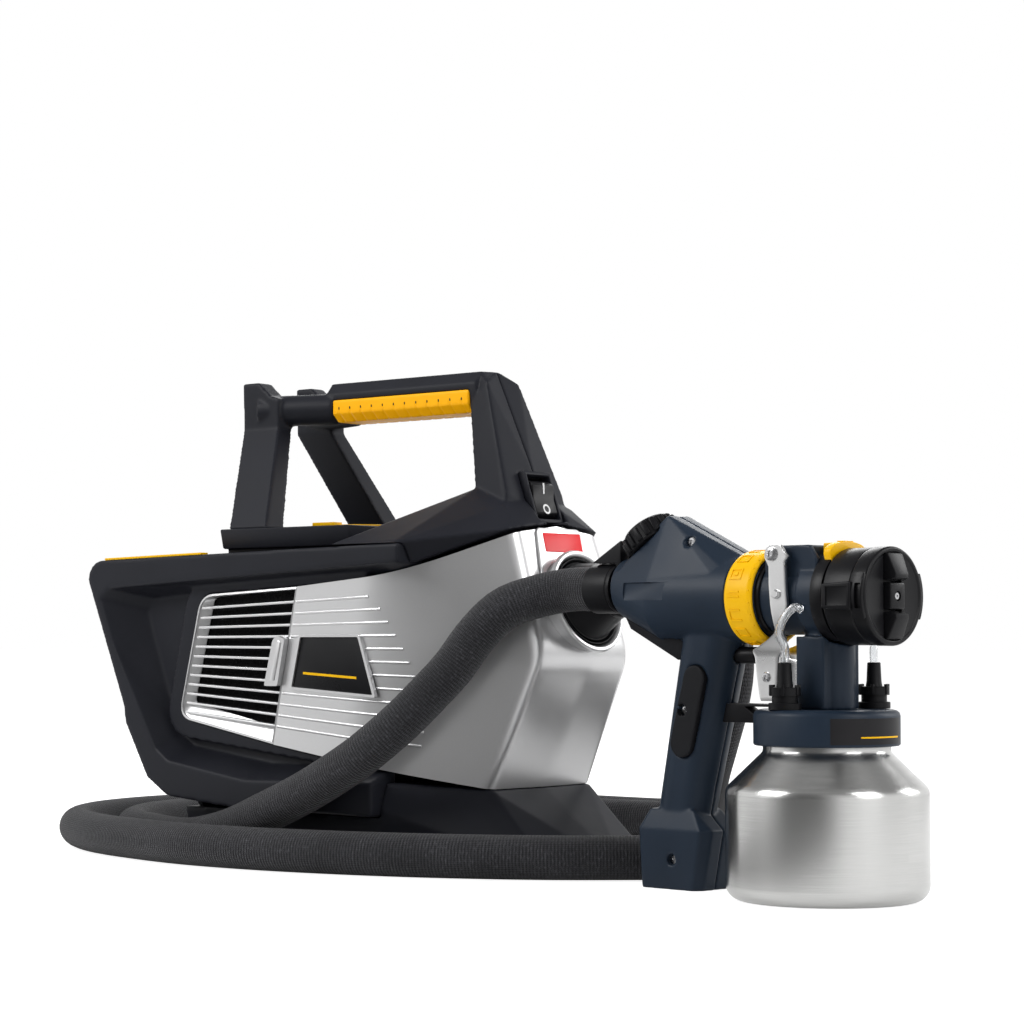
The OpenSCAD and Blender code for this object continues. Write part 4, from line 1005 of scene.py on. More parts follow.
class SPRAYER_OT_plates(bpy.types.Operator):
    """Fit the bare name plates, their frames and the red plate"""

    bl_idname = "sprayer.plates"
    bl_label = "Plates"

    outline = [(-50, 118.5), (24.4, 114), (10.9, 152), (-42, 152)]
    rim = [(-52.8, 117.2), (27.0, 112.2), (12.5, 153.4), (-44.1, 153.4)]
    line = [(-40, 127.1), (9, 124.3), (9, 125.9), (-40, 128.7)]
    red = [(-19.2, 36.4), (19.8, 36.4), (21.6, 49.8), (-17.4, 49.8)]

    def execute(self, context):
        outline = rounded(self.outline, 1.2, 3)
        for side, sign in SIDES.items():
            ring = slab(rounded(self.rim, 2.0, 3), 85.4, 88.2, "XZ", 0.9, 3, both=False)
            self.fit(carved(ring, slab(outline, 80, 90)), sign, f"plate_frame_{side}",
                     "silver_lacquer", "silver_cover")
        for side, sign in SIDES.items():
            self.fit(slab(outline, 85.2, 87.0, "XZ", 0.3, 2, both=False), sign,
                     f"name_plate_{side}", "plate_black", "dark_plate",
                     ("name_plates",) if sign < 0 else ())
            self.fit(slab(self.line, 86.8, 87.15, "XZ", 0.1, 1, both=False), sign,
                     f"plate_line_{side}", "line_yellow", "yellow_ring")
        settle(slab(rounded(self.red, 1.0, 3), -0.8, 1.1, "YZ", 0.5, 3), "red_field",
               "red_gloss", "sprayer", ("red_plate",), NOSE)
        return {"FINISHED"}

    def fit(self, bm, sign, name, material, slot, replaces=()):
        """Sets a plate on its side of the case."""
        settle(mirrored(bm, sign), name, material, "sprayer", replaces, sharp=30.0)


class SPRAYER_OT_socket(bpy.types.Operator):
    """Turn the silver ring and the black sleeve of the hose socket"""

    bl_idname = "sprayer.socket"
    bl_label = "Hose socket"

    def execute(self, context):
        profile = [(-7, 31.9), (-7, 29.7), (5, 29.7), (8.2, 30.6), (9.8, 32.0), (9.8, 34.2),
                   (8.0, 35.0), (6.9, 35.0), (6.9, 31.9)]
        ring = lathe(ring_profile(profile, 0.7, 3), 96)
        settle(ring, "socket_rim", "silver_lacquer", "sprayer",
               ("socket_ring",), SOCKET)
        sleeve = lathe(ring_profile([(-38, 27.1), (-38, 29.4), (8.4, 29.4), (8.4, 28.6),
                                     (6.0, 27.1)], 0.5, 2), 96)
        settle(sleeve, "socket_liner", "black_plastic", "sprayer",
               ("socket_sleeve",), SOCKET)
        return {"FINISHED"}


class SPRAYER_OT_grip(bpy.types.Operator):
    """Shape the yellow grip inlay with its finger scallops"""

    bl_idname = "sprayer.grip"
    bl_label = "Grip inlay"

    notches = 12
    end = 6 * MM

    def execute(self, context):
        low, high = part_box("grip_inlay")
        middle_y = (low.y + high.y) / 2
        pitch = (high.x - low.x - 2 * self.end) / (self.notches - 1)

        def scallop(bm):
            """Presses the notches into both flanks."""
            for vert in bm.verts:
                down = (high.z - 0.004 - vert.co.z) / (high.z - low.z)
                if down <= 0:
                    continue
                across = (vert.co.x - low.x - self.end) / pitch
                if not -0.4 < across < self.notches - 0.6:
                    continue
                off = abs(across - round(across)) * pitch
                depth = 0.0007 * math.exp(-(off / 0.0011) ** 2) * min(1.0, down * 3)
                inward = Vector((0, middle_y - vert.co.y, (low.z + high.z) / 2 - vert.co.z))
                vert.co += inward.normalized() * depth

        moulded_shell("grip_inlay", "grip_plastic", 0.0009, 3, 0.5, scallop)
        # painted shade: a small black block at the top of each notch, on both flanks, stands for
        # the shade in the notch's end
        notch_shade = bmesh.new()
        for k in range(self.notches):
            for sign in (-1, 1):
                x = low.x + self.end + k * pitch
                y = middle_y + sign * (high.y - middle_y)
                shade_dot = block(x - 0.0005, x + 0.0005, y - 0.0004, y + 0.00002,
                            high.z - 0.0068, high.z - 0.0050, 0.0002)
                if sign < 0:
                    bmesh.ops.translate(shade_dot, vec=(0, 0.00038, 0), verts=shade_dot.verts)
                join(notch_shade, shade_dot)
        settle(notch_shade, "grip_ticks", "black_plastic", "sprayer")
        return {"FINISHED"}


class SPRAYER_OT_switch(bpy.types.Operator):
    """Finish the power switch with its on and off marks"""

    bl_idname = "sprayer.switch"
    bl_label = "Power switch"

    def execute(self, context):
        edged("switch_bezel", "charcoal_plastic", 1.0)
        edged("rocker", "black_plastic", 0.8)
        tilt = SWITCH @ Matrix.Translation((-8, 0, 0)) @ Matrix.Rotation(math.radians(8), 4, "Y")
        bar = block(-0.3, 0.25, -0.75, 0.75, -3.6, 3.6, 0.15)
        lean = math.atan2(2.0, 13.0)
        top = tilt @ Matrix.Translation((11.6, 0, 7.0)) @ Matrix.Rotation(lean, 4, "Y")
        settle(bar, "on_mark", "mark_white", "power_rocker", place=top)
        profile = [(-0.3, 2.2), (0.25, 2.2), (0.25, 3.5), (-0.3, 3.5)]
        ring = lathe(ring_profile(profile, 0.15, 2), 40)
        low = tilt @ Matrix.Translation((11.6, 0, -7.0)) @ Matrix.Rotation(-lean, 4, "Y")
        settle(ring, "off_mark", "mark_white", "power_rocker", place=low)
        return {"FINISHED"}


class SPRAYER_OT_storage_lid(bpy.types.Operator):
    """Finish the round storage lid and its yellow ring"""

    bl_idname = "sprayer.storage_lid"
    bl_label = "Storage lid"

    def execute(self, context):
        edged("storage_lid", "charcoal_plastic", 0.6)
        edged("lid_ring", "yellow_plastic", 0.5)
        return {"FINISHED"}


class SPRAYER_OT_turbine(bpy.types.Operator):
    """Finish the parts inside the case"""

    bl_idname = "sprayer.turbine"
    bl_label = "Turbine"

    def execute(self, context):
        dress("black_plastic", "blower_housing", "outlet_duct")
        dress("machined_steel", "motor_can", "rotor_shaft", "bearings")
        dress("cast_alloy", "impellers")
        dress("soft_rubber", "mount_bushes")
        return {"FINISHED"}


# ---------------------------------------------------------------- gun
class SPRAYER_OT_gun_body(bpy.types.Operator):
    """Round the two halves of the gun and cut their bare badge field"""

    bl_idname = "sprayer.gun_body"
    bl_label = "Gun body"

    def execute(self, context):
        for node, sign in (("gun_right", 1), ("gun_left", -1)):
            badge = block(-18.2, 18.2, -12, 0.9, -5.5, 5.5, 0.5)
            lean = (Matrix.Rotation(math.radians(-8.3), 4, "Z")
                    @ Matrix.Rotation(math.radians(-6.9), 4, "X"))
            place = (GUN @ Matrix.Diagonal((1, sign, 1, 1))
                     @ Matrix.Translation((-120.5, -23.9, 179.5)) @ lean)
            bmesh.ops.transform(badge, matrix=place, verts=badge.verts)
            bmesh.ops.recalc_face_normals(badge, faces=badge.faces)
            moulded_shell(node, "slate_plastic", sizes().gun_voxel, 6, 0.3,
                          cutters=[badge])
        return {"FINISHED"}


class SPRAYER_OT_gun_trim(bpy.types.Operator):
    """Finish the gun's pads, tang, plunger, hook, inlet and screws"""

    bl_idname = "sprayer.gun_trim"
    bl_label = "Gun trim"

    def execute(self, context):
        moulded_shell("grip_pads", "soft_rubber", 0.0007, 4, 0.5)
        edged("gun_tang", "soft_rubber", 0.9)
        edged("trigger_stop", "black_plastic", 0.6)
        edged("gun_hook", "black_plastic", 0.4)
        edged("gun_inlet", "black_plastic", 0.6)
        bm = bmesh.new()
        for x, z in ((-91, 209), (-96, 108), (-105, 18)):
            join(bm, screw(3.1, 1.4, 1.0), facing_side(-1, (x, 13, z)))
        settle(bm, "body_screws", "machined_steel", "sprayer", ("gun_screws",), GUN)
        return {"FINISHED"}


class SPRAYER_OT_knob(bpy.types.Operator):
    """Make the knurled airflow knob"""

    bl_idname = "sprayer.knob"
    bl_label = "Airflow knob"

    def execute(self, context):
        base = [(-10, 0), (-10, 4), (-6, 4), (-6, 16.6), (-5, 17.4), (4.8, 17.4), (6, 16.4),
                (6, 11), (4.9, 10), (4.7, 0)]
        bm = lathe(base, 72)
        for k in range(18):
            tooth = block(-5, 4.6, -1.9, 1.9, 16.0, 18.9, 0.9, 3)
            join(bm, tooth, Matrix.Rotation(math.radians(20 * k), 4, "X"))
        settle(bm, "airflow_knob", "black_plastic", "flow_dial",
               ("flow_knob",), KNOB @ upright())
        return {"FINISHED"}


def facing_side(sign, place):
    """Turns the X axis to one side of the gun, at a place given for its left side."""
    return (Matrix.Translation((place[0], sign * place[1], place[2]))
            @ Matrix.Rotation(math.radians(90 * sign), 4, "Z"))


def wrapped(bm, radius, axis="X"):
    """Bends a flat shape (run, arc, height) round a cylinder."""
    for vert in bm.verts:
        run, arc, high = vert.co
        a = arc / radius
        ring = ((radius + high) * math.sin(a), (radius + high) * math.cos(a))
        vert.co = (run, *ring) if axis == "X" else (*ring, run)
    return bm


def flat_bar(x0, x1, s0, s1, height):
    """Thin subdivided bar ready to be wrapped."""
    bm = bmesh.new()
    bmesh.ops.create_grid(bm, x_segments=1, y_segments=max(1, int(abs(s1 - s0) / 1.5)), size=0.5)
    bmesh.ops.scale(bm, vec=(x1 - x0, s1 - s0, 1), verts=bm.verts)
    bmesh.ops.translate(bm, vec=((x0 + x1) / 2, (s0 + s1) / 2, -0.3), verts=bm.verts)
    raised = bmesh.ops.extrude_face_region(bm, geom=bm.faces[:])
    bmesh.ops.translate(bm, vec=(0, 0, height + 0.3), verts=moved_verts(raised))
    bmesh.ops.recalc_face_normals(bm, faces=bm.faces)
    return bm


class SPRAYER_OT_lock_ring(bpy.types.Operator):
    """Turn the yellow lock ring and its raised position marks"""

    bl_idname = "sprayer.lock_ring"
    bl_label = "Lock ring"

    marks = 14

    def execute(self, context):
        profile = [(-54.5, 24.7), (-54.5, 27.0), (-52.8, 28.0), (-37.0, 28.0), (-34.3, 26.6),
                   (-34.3, 25.2), (-36.0, 24.7)]
        bm = lathe(ring_profile(profile, 0.9, 3), 96)
        for k in range(self.marks):
            self.mark(bm, k * 360 / self.marks + 9, k % 4)
        for k in range(24):
            rib = block(-40.5, -35.6, -0.5, 0.5, 26.6, 27.9, 0.3)
            join(bm, rib, Matrix.Rotation(math.radians(15 * k + 7), 4, "X"))
        settle(bm, "locking_collar", "yellow_plastic", "locking_ring",
               ("lock_ring",), AXIS)
        return {"FINISHED"}

    def mark(self, bm, degrees, kind):
        """One raised outline: open bracket, box, box with a bar, or two bars."""
        x0, x1 = -51.0, -42.5
        bracket = [(x0, x1, -3.5, -2.6), (x0, x1, 2.6, 3.5), (x0, x0 + 0.9, -3.5, 3.5)]
        box = bracket + [(x1 - 0.9, x1, -3.5, 3.5)]
        bars = (bracket, box, box + [(-48.0, -45.5, -0.9, 0.9)],
                [(x0, x1, -1.8, -0.9), (x0, x1, 0.9, 1.8)])[kind]
        for a, b, s0, s1 in bars:
            bar = wrapped(flat_bar(a, b, s0, s1, 0.55), 27.95)
            join(bm, bar, Matrix.Rotation(math.radians(degrees), 4, "X"))


class SPRAYER_OT_spray_head(bpy.types.Operator):
    """Round the spray head"""

    bl_idname = "sprayer.spray_head"
    bl_label = "Spray head"

    def execute(self, context):
        moulded_shell("spray_head", "slate_plastic", 0.0008, 4, 0.35)
        collar = lathe(ring_profile([(-34.6, 20.5), (-34.6, 23.6), (-31.5, 23.2), (-31.5, 20.5)],
                                    0.5, 2), 72)
        settle(collar, "head_collar", "satin_black", "sprayer", place=AXIS)
        return {"FINISHED"}


class SPRAYER_OT_trigger(bpy.types.Operator):
    """Shape the plated fork of the trigger with its finger blade and screws"""

    bl_idname = "sprayer.trigger"
    bl_label = "Trigger"

    # height over the barrel's axis, rear edge, front edge, distance from the middle
    rows = [(30.6, -20.5, -15.5, 25.4), (30.0, -22.4, -13.6, 25.4), (28.2, -24.3, -12.2, 25.4),
            (25.5, -25.3, -10.0, 25.4), (23.3, -25.2, -7.8, 25.4), (22.0, -24.8, -8.6, 25.4),
            (20.5, -23.8, -10.2, 25.4), (17.4, -22.3, -10.4, 25.4), (7.0, -22.2, -10.0, 25.4),
            (-4.5, -21.2, -8.8, 25.4), (-10.0, -20.2, -10.2, 25.4), (-15.0, -19.0, -12.2, 25.2),
            (-19.0, -18.2, -13.6, 24.6), (-21.5, -20.6, -13.6, 23.2), (-24.8, -26.8, -14.0, 20.9),
            (-28.2, -34.8, -15.6, 18.3), (-30.8, -41.2, -18.4, 16.5), (-32.2, -42.0, -21.0, 15.8),
            (-35.0, -40.6, -23.2, 15.5), (-46.0, -39.2, -24.2, 15.5), (-58.2, -37.2, -25.0, 15.5),
            (-60.6, -36.2, -26.0, 15.5)]
    web = [(-26.5, 15.5), (-24.2, 15.3), (-22.9, 14.2), (-22.3, 12.2), (-22.0, 9.0), (-21.9, 4.5),
           (-21.8, 0.0)]
    web_back = [(-26.5, 13.3), (-25.4, 13.1), (-24.8, 12.2), (-24.4, 10.5), (-24.2, 8.0),
                (-24.1, 4.5), (-24.0, 0.0)]

    def execute(self, context):
        bm = bmesh.new()
        for sign in (-1, 1):
            outer, inner = [[[(low + (high - low) * k / 8, sign * (y - depth), BARREL_Z + z)
                              for k in range(9)] for z, low, high, y in self.rows]
                            for depth in (0.0, 2.4)]
            join(bm, plate(outer, inner, 0.7))
            nub = lathe([(-0.4, 0), (-0.4, 2.9), (1.5, 2.7), (2.0, 2.2), (2.0, 0)], 6)
            join(bm, nub, facing_side(sign, (-16.7, 25.4, BARREL_Z + 1.6)))
        join(bm, plate(self.finger_rows(self.web), self.finger_rows(self.web_back), 0.7))
        settle(bm, "trigger_fork", "trigger_metal", "trigger_lever",
               ("trigger",), GUN, sharp=36)
        pins, blades = bmesh.new(), bmesh.new()
        for sign in (-1, 1):
            join(pins, screw(4.0, 1.4, 1.2), facing_side(sign, (-20, 27.2, BARREL_Z + 25)))
            join(blades, screw(2.9, 0.2, 1.0), facing_side(sign, (-32, 16.7, 128.4)))
        settle(pins, "pivot_screws", "machined_steel", "sprayer", ("trigger_pins",), GUN)
        settle(blades, "blade_screws", "machined_steel", "trigger_lever", place=GUN)
        return {"FINISHED"}

    def finger_rows(self, path):
        """Rows of the blade that joins both sides, its upper edge hollowed in the middle."""
        full = path + [(x, -y) for x, y in path[-2::-1]]
        out = []
        for k in range(9):
            row = []
            for x, y in full:
                top = -36.5 + 7.0 * (abs(y) / 15.5) ** 2
                row.append((x, y, BARREL_Z + top + (-60.6 - top) * k / 8))
            out.append(row)
        return out


class SPRAYER_OT_air_cap(bpy.types.Operator):
    """Make the black air cap with its wings, star face and horns"""

    bl_idname = "sprayer.air_cap"
    bl_label = "Air cap"

    front = 48.0

    def execute(self, context):
        self.cap()
        self.lever()
        dress("machined_steel", "nozzle", "needle")
        self.spring()
        return {"FINISHED"}

    def cap(self):
        """Turned body with a slot across its face, a middle island, two horns and two wings."""
        front = self.front
        profile = rounded([(17.9, 25.1), (17.9, 27.0), (18.8, 28.0), (36.6, 28.0), (37.2, 27.4),
                           (37.8, 28.3), (front - 1.0, 28.4), (front, 27.6), (front, 25.7),
                           (front - 0.7, 25.1), (front - 0.8, 4.1), (front - 6.9, 4.1),
                           (front - 6.9, 25.1)], 0.5, 2)
        bm = carved(lathe(profile + [profile[0]], 96),
                    block(front - 5.4, front + 2, -8.9, 8.9, -24.5, 24.5, 0.3))
        bore = lathe([(front - 9, 0), (front - 9, 2.9), (front + 6, 2.9), (front + 6, 0)], 40)
        join(bm, carved(block(front - 6, front + 3.0, -7.0, 7.0, -7.8, 7.8, 1.1, 3), bore))
        for turn in (0, math.pi):
            horn = slab([(front - 6, 9.3), (front + 2.6, 8.8), (front + 6.0, 10.2),
                         (front + 6.2, 12.8), (front + 1.4, 24.2), (front - 0.8, 24.8),
                         (front - 6, 24.8)], -7.5, 7.5, "XZ", 0.9, 3)
            for vert in horn.verts:
                vert.co.y *= 1.0 - 0.03 * max(0.0, vert.co.x - front)
            jet = block(front + 1.5, front + 4.2, -2.6, 2.6, 6.0, 10.4, 0.3)
            join(bm, carved(horn, jet), Matrix.Rotation(turn, 4, "X"))
            join(bm, self.wing(), Matrix.Rotation(turn + math.pi / 2, 4, "X"))
        settle(bm, "spray_air_cap", "satin_black", "spray_cap", ("air_cap",),
               AXIS)
        tip = lathe([(34, 0), (34, 2.6), (front + 1.4, 2.6), (front + 2.4, 1.9),
                     (front + 2.4, 0.7), (front + 1.6, 0.6), (front + 1.6, 0)], 40)
        settle(tip, "fluid_tip", "machined_steel", "sprayer", place=AXIS)

    def spring(self):
        """Coil behind the needle's collar, with a mesh of its own."""
        rear, front, radius, turns = -61.3, -48.9, 3.7, 7
        route = [Vector((rear + (front - rear) * a / (360 * turns),
                         radius * math.sin(math.radians(a)), radius * math.cos(math.radians(a))))
                 for a in range(0, 360 * turns + 1, 15)]
        coil = settle(tube(route, 0.65, 10), "needle_coil", "machined_steel",
                      body_of_node("needle_spring"), ("needle_spring",), AXIS, sharp=60)
        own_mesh(coil)

    def arc(self, radius, degrees):
        """Points (y, z) of an arc over the top, from one side to the other."""
        return [(radius * math.sin(a), radius * math.cos(a))
                for a in (math.radians(degrees * (2 * k / 12 - 1)) for k in range(13))]

    def wing(self):
        """Grip wing: a pad with a sunk field and an open clip at the rim."""
        pad = block(19.5, 40, -8.2, 8.2, 27.0, 31.0, 0.9, 3)
        for vert in pad.verts:
            vert.co.y *= 0.85 + 0.15 * (vert.co.x - 19.5) / 20.5
        bm = carved(pad, block(22.8, 37.6, -5.4, 5.4, 30.2, 33.0, 0.3))
        clip = slab(self.arc(30.2, 26) + self.arc(26.0, 26)[::-1], 38.6, 47.4, "YZ", 0.7, 2)
        return join(bm, carved(clip, block(42.2, 46.2, -7.2, 7.2, 26.8, 33.0, 0.2)))

    def lever(self):
        """Black ring of the width lever and its yellow tab."""
        profile = [(8.4, 24.5), (8.4, 27.0), (16.6, 27.0), (16.6, 24.5)]
        settle(lathe(ring_profile(profile, 0.4, 2), 96), "width_ring", "satin_black",
               "width_selector", ("width_lever",), AXIS)
        outline = [(-18.0, 24.5), (-17.4, 27.6), (-12.5, 30.4), (-5.0, 31.8), (5.0, 31.8),
                   (12.5, 30.4), (17.4, 27.6), (18.0, 24.5)] + self.arc(25.4, 40)[::-1]
        outline = rounded(outline[:8], 2.0, 3, closed=False) + outline[8:]
        tab = slab(outline, 11.8, 17.0, "YZ", 0.6, 2)
        join(tab, block(4.0, 12.4, -7.8, 7.8, 25.4, 31.2, 0.9, 3))
        for k in range(5):
            join(tab, block(12.4, 16.4, -5.6 + 2.4 * k, -4.6 + 2.4 * k, 31.4, 32.3, 0.3))
        settle(tab, "width_tab", "yellow_plastic", "width_selector", place=AXIS)


class SPRAYER_OT_cup(bpy.types.Operator):
    """Turn the brushed cup, its lid, the label field and the seal"""

    bl_idname = "sprayer.cup"
    bl_label = "Cup and lid"

    def execute(self, context):
        self.cup()
        self.lid()
        dress("soft_rubber", "lid_seal")
        dress("machined_steel", "riser_tube")
        return {"FINISHED"}

    def cup(self):
        """Thin cup with a rolled foot and a sloping shoulder, its UV map run round it."""
        r, wall, neck = 59.0, 1.5, 37.0
        outer = [(0, 0), (0.6, r - 14), (0, r - 11.5)]
        outer += [(9.5 - 9.5 * math.cos(a), r - 9.5 + 9.5 * math.sin(a))
                  for a in (math.radians(d) for d in range(10, 91, 10))]
        outer += [(61.0, r), (63.5, r - 0.3), (65.6, r - 1.4), (67.3, r - 3.2), (84.0, neck + 1.6),
                  (85.4, neck + 0.3), (87, neck), (102.4, neck)]
        inner = [(102.4, neck - wall), (87, neck - wall), (84.8, neck - 1.0), (67.0, r - 5.2),
                 (62, r - wall - 0.2), (60, r - wall), (11, r - wall), (5, r - 4), (1.6, r - 11),
                 (1.6, 0)]
        bm = lathe(outer + inner, 128)
        layer = bm.loops.layers.uv.new("UVMap")
        for face in bm.faces:
            angles = [math.atan2(l.vert.co.y, l.vert.co.z) / (2 * math.pi) for l in face.loops]
            wrap = max(angles) - min(angles) > 0.5
            for loop, a in zip(face.loops, angles):
                run = loop.vert.co.x / 400 + loop.vert.co.yz.length / 400
                loop[layer].uv = (a + 1 if wrap and a < 0 else a, run)
        settle(bm, "brushed_cup", "cup_metal", "paint_cup", ("cup",),
               GUN @ upright(), sharp=38)

    def lid(self):
        """Turned lid with a bare label field wrapped on its rim."""
        r = 42.5
        profile = [(103.5, 0), (103.5, 37.4), (89.2, 37.4), (89.2, r - 0.8), (90, r),
                   (106.4, r), (108.2, r - 0.6), (109.4, r - 2.0), (109.9, r - 4.0),
                   (110, r - 10), (110, 0)]
        bm = lathe(profile, 128)
        settle(bm, "threaded_lid", "slate_plastic", "sprayer", ("cup_lid",),
               GUN @ upright(), sharp=38)
        label = wrapped(flat_bar(90.8, 105.6, 0, 55, 0.12), r, "Z")
        line = wrapped(flat_bar(94.4, 95.3, 4, 37, 0.16), r, "Z")
        place = GUN @ Matrix.Rotation(math.radians(-66), 4, "Z")
        settle(label, "lid_label", "label_graphite", "sprayer", place=place)
        settle(line, "lid_label_line", "line_yellow", "sprayer", place=place)


class SPRAYER_OT_valves(bpy.types.Operator):
    """Make the check valves and the clear vent tubes"""

    bl_idname = "sprayer.valves"
    bl_label = "Valves and tubes"

    route = [(0, -24.4, 168), (0, -30, 168.5), (-4, -34, 163), (-8, -34, 154), (-7, -30, 146),
             (-7, -30, 137.2)]

    def execute(self, context):
        turned = (Matrix.Translation((12, 30, 0)) @ Matrix.Rotation(math.pi, 4, "Z")
                  @ Matrix.Translation((7, 30, 0)))
        tubes = bmesh.new()
        for place in (Matrix.Identity(4), turned):
            route = smooth_route([place @ Vector(p) for p in self.route], 1.2)
            join(tubes, tube(route, 2.45, 20))
            inner = tube(route, 1.7, 20)
            bmesh.ops.reverse_faces(inner, faces=inner.faces)
            join(tubes, inner)
        settle(tubes, "clear_vent_tubes", "clear_tube", "sprayer",
               ("vent_tubes",), GUN, sharp=60)
        bm = bmesh.new()
        profile = [(110.1, 0), (110.1, 9.5), (113.6, 9.5), (114, 9.1), (114, 7.5), (118, 7.5),
                   (118, 9.0), (122.6, 9.0), (123, 8.6), (123, 4.9), (126, 4.4), (136.6, 3.9),
                   (137, 3.5), (137, 0)]
        for x, y in ((-7, -30), (12, 30)):
            valve = lathe(profile, 40)
            for k in range(6):
                join(valve, block(118.2, 124.4, -1.0, 1.0, 7.6, 9.6, 0.4),
                     Matrix.Rotation(math.radians(60 * k), 4, "X"))
            join(bm, valve, Matrix.Translation((x, y, 0)) @ upright())
        settle(bm, "check_valve_bodies", "black_plastic", "sprayer",
               ("check_valves",), GUN)
        return {"FINISHED"}


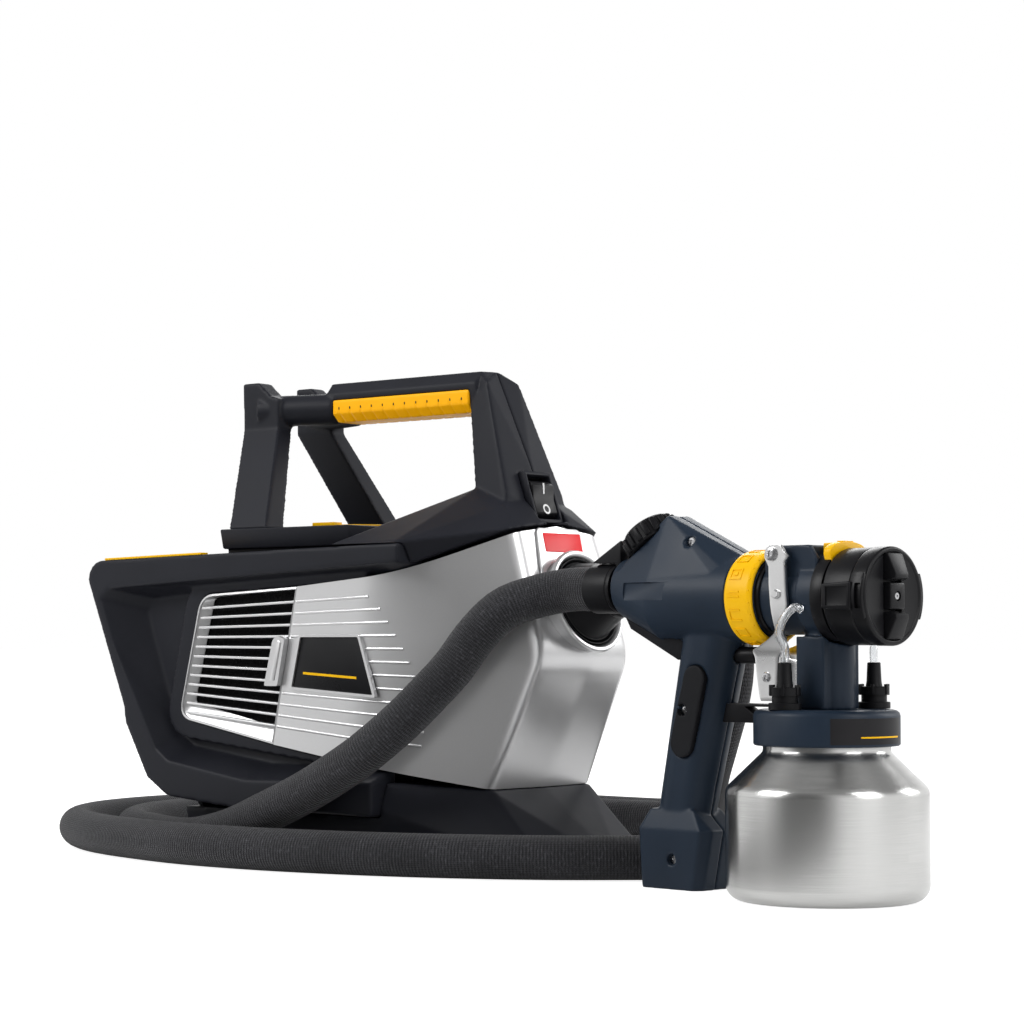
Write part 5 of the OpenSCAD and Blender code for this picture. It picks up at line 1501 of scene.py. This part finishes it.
# ---------------------------------------------------------------- stage
class SPRAYER_OT_stage(bpy.types.Operator):
    """Set the floor, the lights and the camera"""

    bl_idname = "sprayer.stage"
    bl_label = "Stage"

    open_side = Vector((0.09, -0.996, 0.02))
    # name, place, place it is aimed at, width and height, watts, seen in reflections
    softboxes = (
        ("key_softbox", (-1.1, -1.7, 1.5), (-0.05, 0, 0.15), (1.3, 1.0), 34, True),
        ("right_softbox", (2.0, -0.2, 1.3), (0.15, 0, 0.15), (0.9, 1.3), 18, True),
        ("top_softbox", (0.0, 0.2, 2.3), (0, 0, 0.1), (1.8, 1.2), 26, False),
        ("rear_softbox", (-1.2, 1.7, 1.3), (0, 0, 0.2), (1.2, 0.8), 12, True),
        ("nose_softbox", (1.3, 1.75, 1.05), (0.1, 0, 0.18), (0.9, 0.9), 14, True))
    camera_place = (1189, -1334, 150)
    camera_turn = math.radians(50)
    camera_rise = math.radians(2.82)
    camera_lens = 91.4
    floor_half = 30

    def execute(self, context):
        self.floor()
        self.world(context)
        for softbox in self.softboxes:
            self.lamp(*softbox)
        self.camera(context)
        return {"FINISHED"}

    def floor(self):
        """White floor that keeps its shadows, and is darker where the studio is open."""
        bm = bmesh.new()
        bmesh.ops.create_grid(bm, x_segments=1, y_segments=1, size=self.floor_half)
        floor = loose(bm, "floor")
        floor.location.z = -0.2 * MM
        made = bpy.data.materials.new("studio_floor")
        nodes = Nodes(made, empty=True)
        maths = nodes.maths
        plain, reflected = nodes.rays()
        flat = nodes.node("ShaderNodeVectorMath", operation="NORMALIZE")
        nodes.link(nodes.node("ShaderNodeNewGeometry").outputs["Position"], flat.inputs[0])
        drop = nodes.ramp(nodes.toward(flat.outputs[0], self.open_side), 0.45, 0.9, 1.0, 0.22,
                          smooth=True)
        tone = maths("SUBTRACT", 1.0, maths("MULTIPLY", reflected, maths("SUBTRACT", 1.0, drop)))
        matt = nodes.node("ShaderNodeBsdfDiffuse")
        nodes.link(maths("MULTIPLY", tone, 0.86), matt.inputs["Color"])
        glow = nodes.node("ShaderNodeEmission")
        nodes.link(maths("MAXIMUM", maths("MULTIPLY", plain, 1.76), tone),
                   glow.inputs["Strength"])
        mix = nodes.node("ShaderNodeMixShader")
        share = maths("MAXIMUM", maths("MULTIPLY", plain, 0.5), maths("MULTIPLY", reflected, 0.3))
        nodes.link(share, mix.inputs["Fac"])
        nodes.link(matt.outputs[0], mix.inputs[1])
        nodes.link(glow.outputs[0], mix.inputs[2])
        nodes.link(mix.outputs[0],
                   nodes.node("ShaderNodeOutputMaterial").inputs["Surface"])
        floor.data.materials.append(made)

    def world(self, context):
        """White backdrop whose reflection darkens overhead and where the studio is open."""
        world = bpy.data.worlds.new("studio")
        context.scene.world = world
        nodes = Nodes(world, empty=True)
        maths = nodes.maths
        plain, reflected = nodes.rays()
        way = nodes.node("ShaderNodeTexCoord").outputs["Generated"]
        rise = nodes.node("ShaderNodeSeparateXYZ")
        nodes.link(way, rise.inputs[0])
        walls = maths(
            "MULTIPLY",
            nodes.ramp(nodes.toward(way, self.open_side), 0.62, 0.97, 1, 0.14, smooth=True),
            nodes.ramp(rise.outputs["Z"], 0.22, 0.70, 1, 0.32, smooth=True))
        shown = maths("MAXIMUM", plain, maths("MULTIPLY", reflected, walls))
        lit = maths("SUBTRACT", 1.0, maths("MAXIMUM", plain, reflected))
        back = nodes.node("ShaderNodeBackground", Color=(1, 1, 1, 1))
        nodes.link(maths("MAXIMUM", shown, maths("MULTIPLY", lit, 0.34)), back.inputs["Strength"])
        nodes.link(back.outputs[0], nodes.node("ShaderNodeOutputWorld").inputs["Surface"])
        context.scene.view_settings.view_transform = "Standard"

    def lamp(self, name, place, aim, size, power, reflected):
        """Soft rectangular lamp that faces a place."""
        data = bpy.data.lights.new(name, "AREA")
        data.shape = "RECTANGLE"
        data.size, data.size_y = size
        data.energy = power
        lamp = bpy.data.objects.new(name, data)
        bpy.context.scene.collection.objects.link(lamp)
        lamp.location = place
        lamp.visible_glossy = reflected
        lamp.rotation_euler = (Vector(aim) - Vector(place)).to_track_quat("-Z", "Y").to_euler()

    def camera(self, context):
        """Camera that looks at the front corner of the case."""
        data = bpy.data.cameras.new("studio_camera")
        data.sensor_width = 36
        data.lens = self.camera_lens
        data.clip_end = 100
        camera = bpy.data.objects.new("studio_camera", data)
        context.scene.collection.objects.link(camera)
        camera.location = CASE @ Vector(self.camera_place)
        turn, rise = self.camera_turn, self.camera_rise
        look = Vector((-math.cos(turn) * math.cos(rise), math.sin(turn) * math.cos(rise),
                       math.sin(rise)))
        camera.rotation_euler = look.to_track_quat("-Z", "Y").to_euler()
        context.scene.camera = camera


# ---------------------------------------------------------------- sidebar and run
PIECE_OPERATORS = (
    SPRAYER_OT_hose, SPRAYER_OT_case_shells, SPRAYER_OT_silver_cover, SPRAYER_OT_side_covers,
    SPRAYER_OT_plates, SPRAYER_OT_socket, SPRAYER_OT_grip, SPRAYER_OT_switch,
    SPRAYER_OT_storage_lid, SPRAYER_OT_turbine, SPRAYER_OT_gun_body, SPRAYER_OT_gun_trim,
    SPRAYER_OT_knob, SPRAYER_OT_lock_ring, SPRAYER_OT_spray_head, SPRAYER_OT_trigger,
    SPRAYER_OT_air_cap, SPRAYER_OT_cup, SPRAYER_OT_valves)


class SPRAYER_PT_sidebar(bpy.types.Panel):
    """Sizes, colours and pieces of the sprayer"""

    bl_idname = "SPRAYER_PT_sidebar"
    bl_label = "Paint sprayer"
    bl_space_type = "VIEW_3D"
    bl_region_type = "UI"
    bl_category = "Sprayer"

    def draw(self, context):
        for group in (context.scene.sprayer_sizes, context.scene.sprayer_colours):
            box = self.layout.box()
            for key in group.__annotations__:
                box.prop(group, key)
        for operator in (SPRAYER_OT_stage, *PIECE_OPERATORS):
            self.layout.operator(operator.bl_idname)


CLASSES = (SprayerSizes, SprayerColours, SPRAYER_OT_stage, *PIECE_OPERATORS, SPRAYER_PT_sidebar)


def register():
    for cls in CLASSES:
        bpy.utils.register_class(cls)
    bpy.types.Scene.sprayer_sizes = bpy.props.PointerProperty(type=SprayerSizes)
    bpy.types.Scene.sprayer_colours = bpy.props.PointerProperty(type=SprayerColours)


def unregister():
    del bpy.types.Scene.sprayer_colours
    del bpy.types.Scene.sprayer_sizes
    for cls in reversed(CLASSES):
        bpy.utils.unregister_class(cls)


def main():
    register()
    bpy.ops.sprayer.stage()
    for operator in PIECE_OPERATORS:
        group, call = operator.bl_idname.split(".")
        getattr(getattr(bpy.ops, group), call)()


if __name__ == "__main__":
    main()
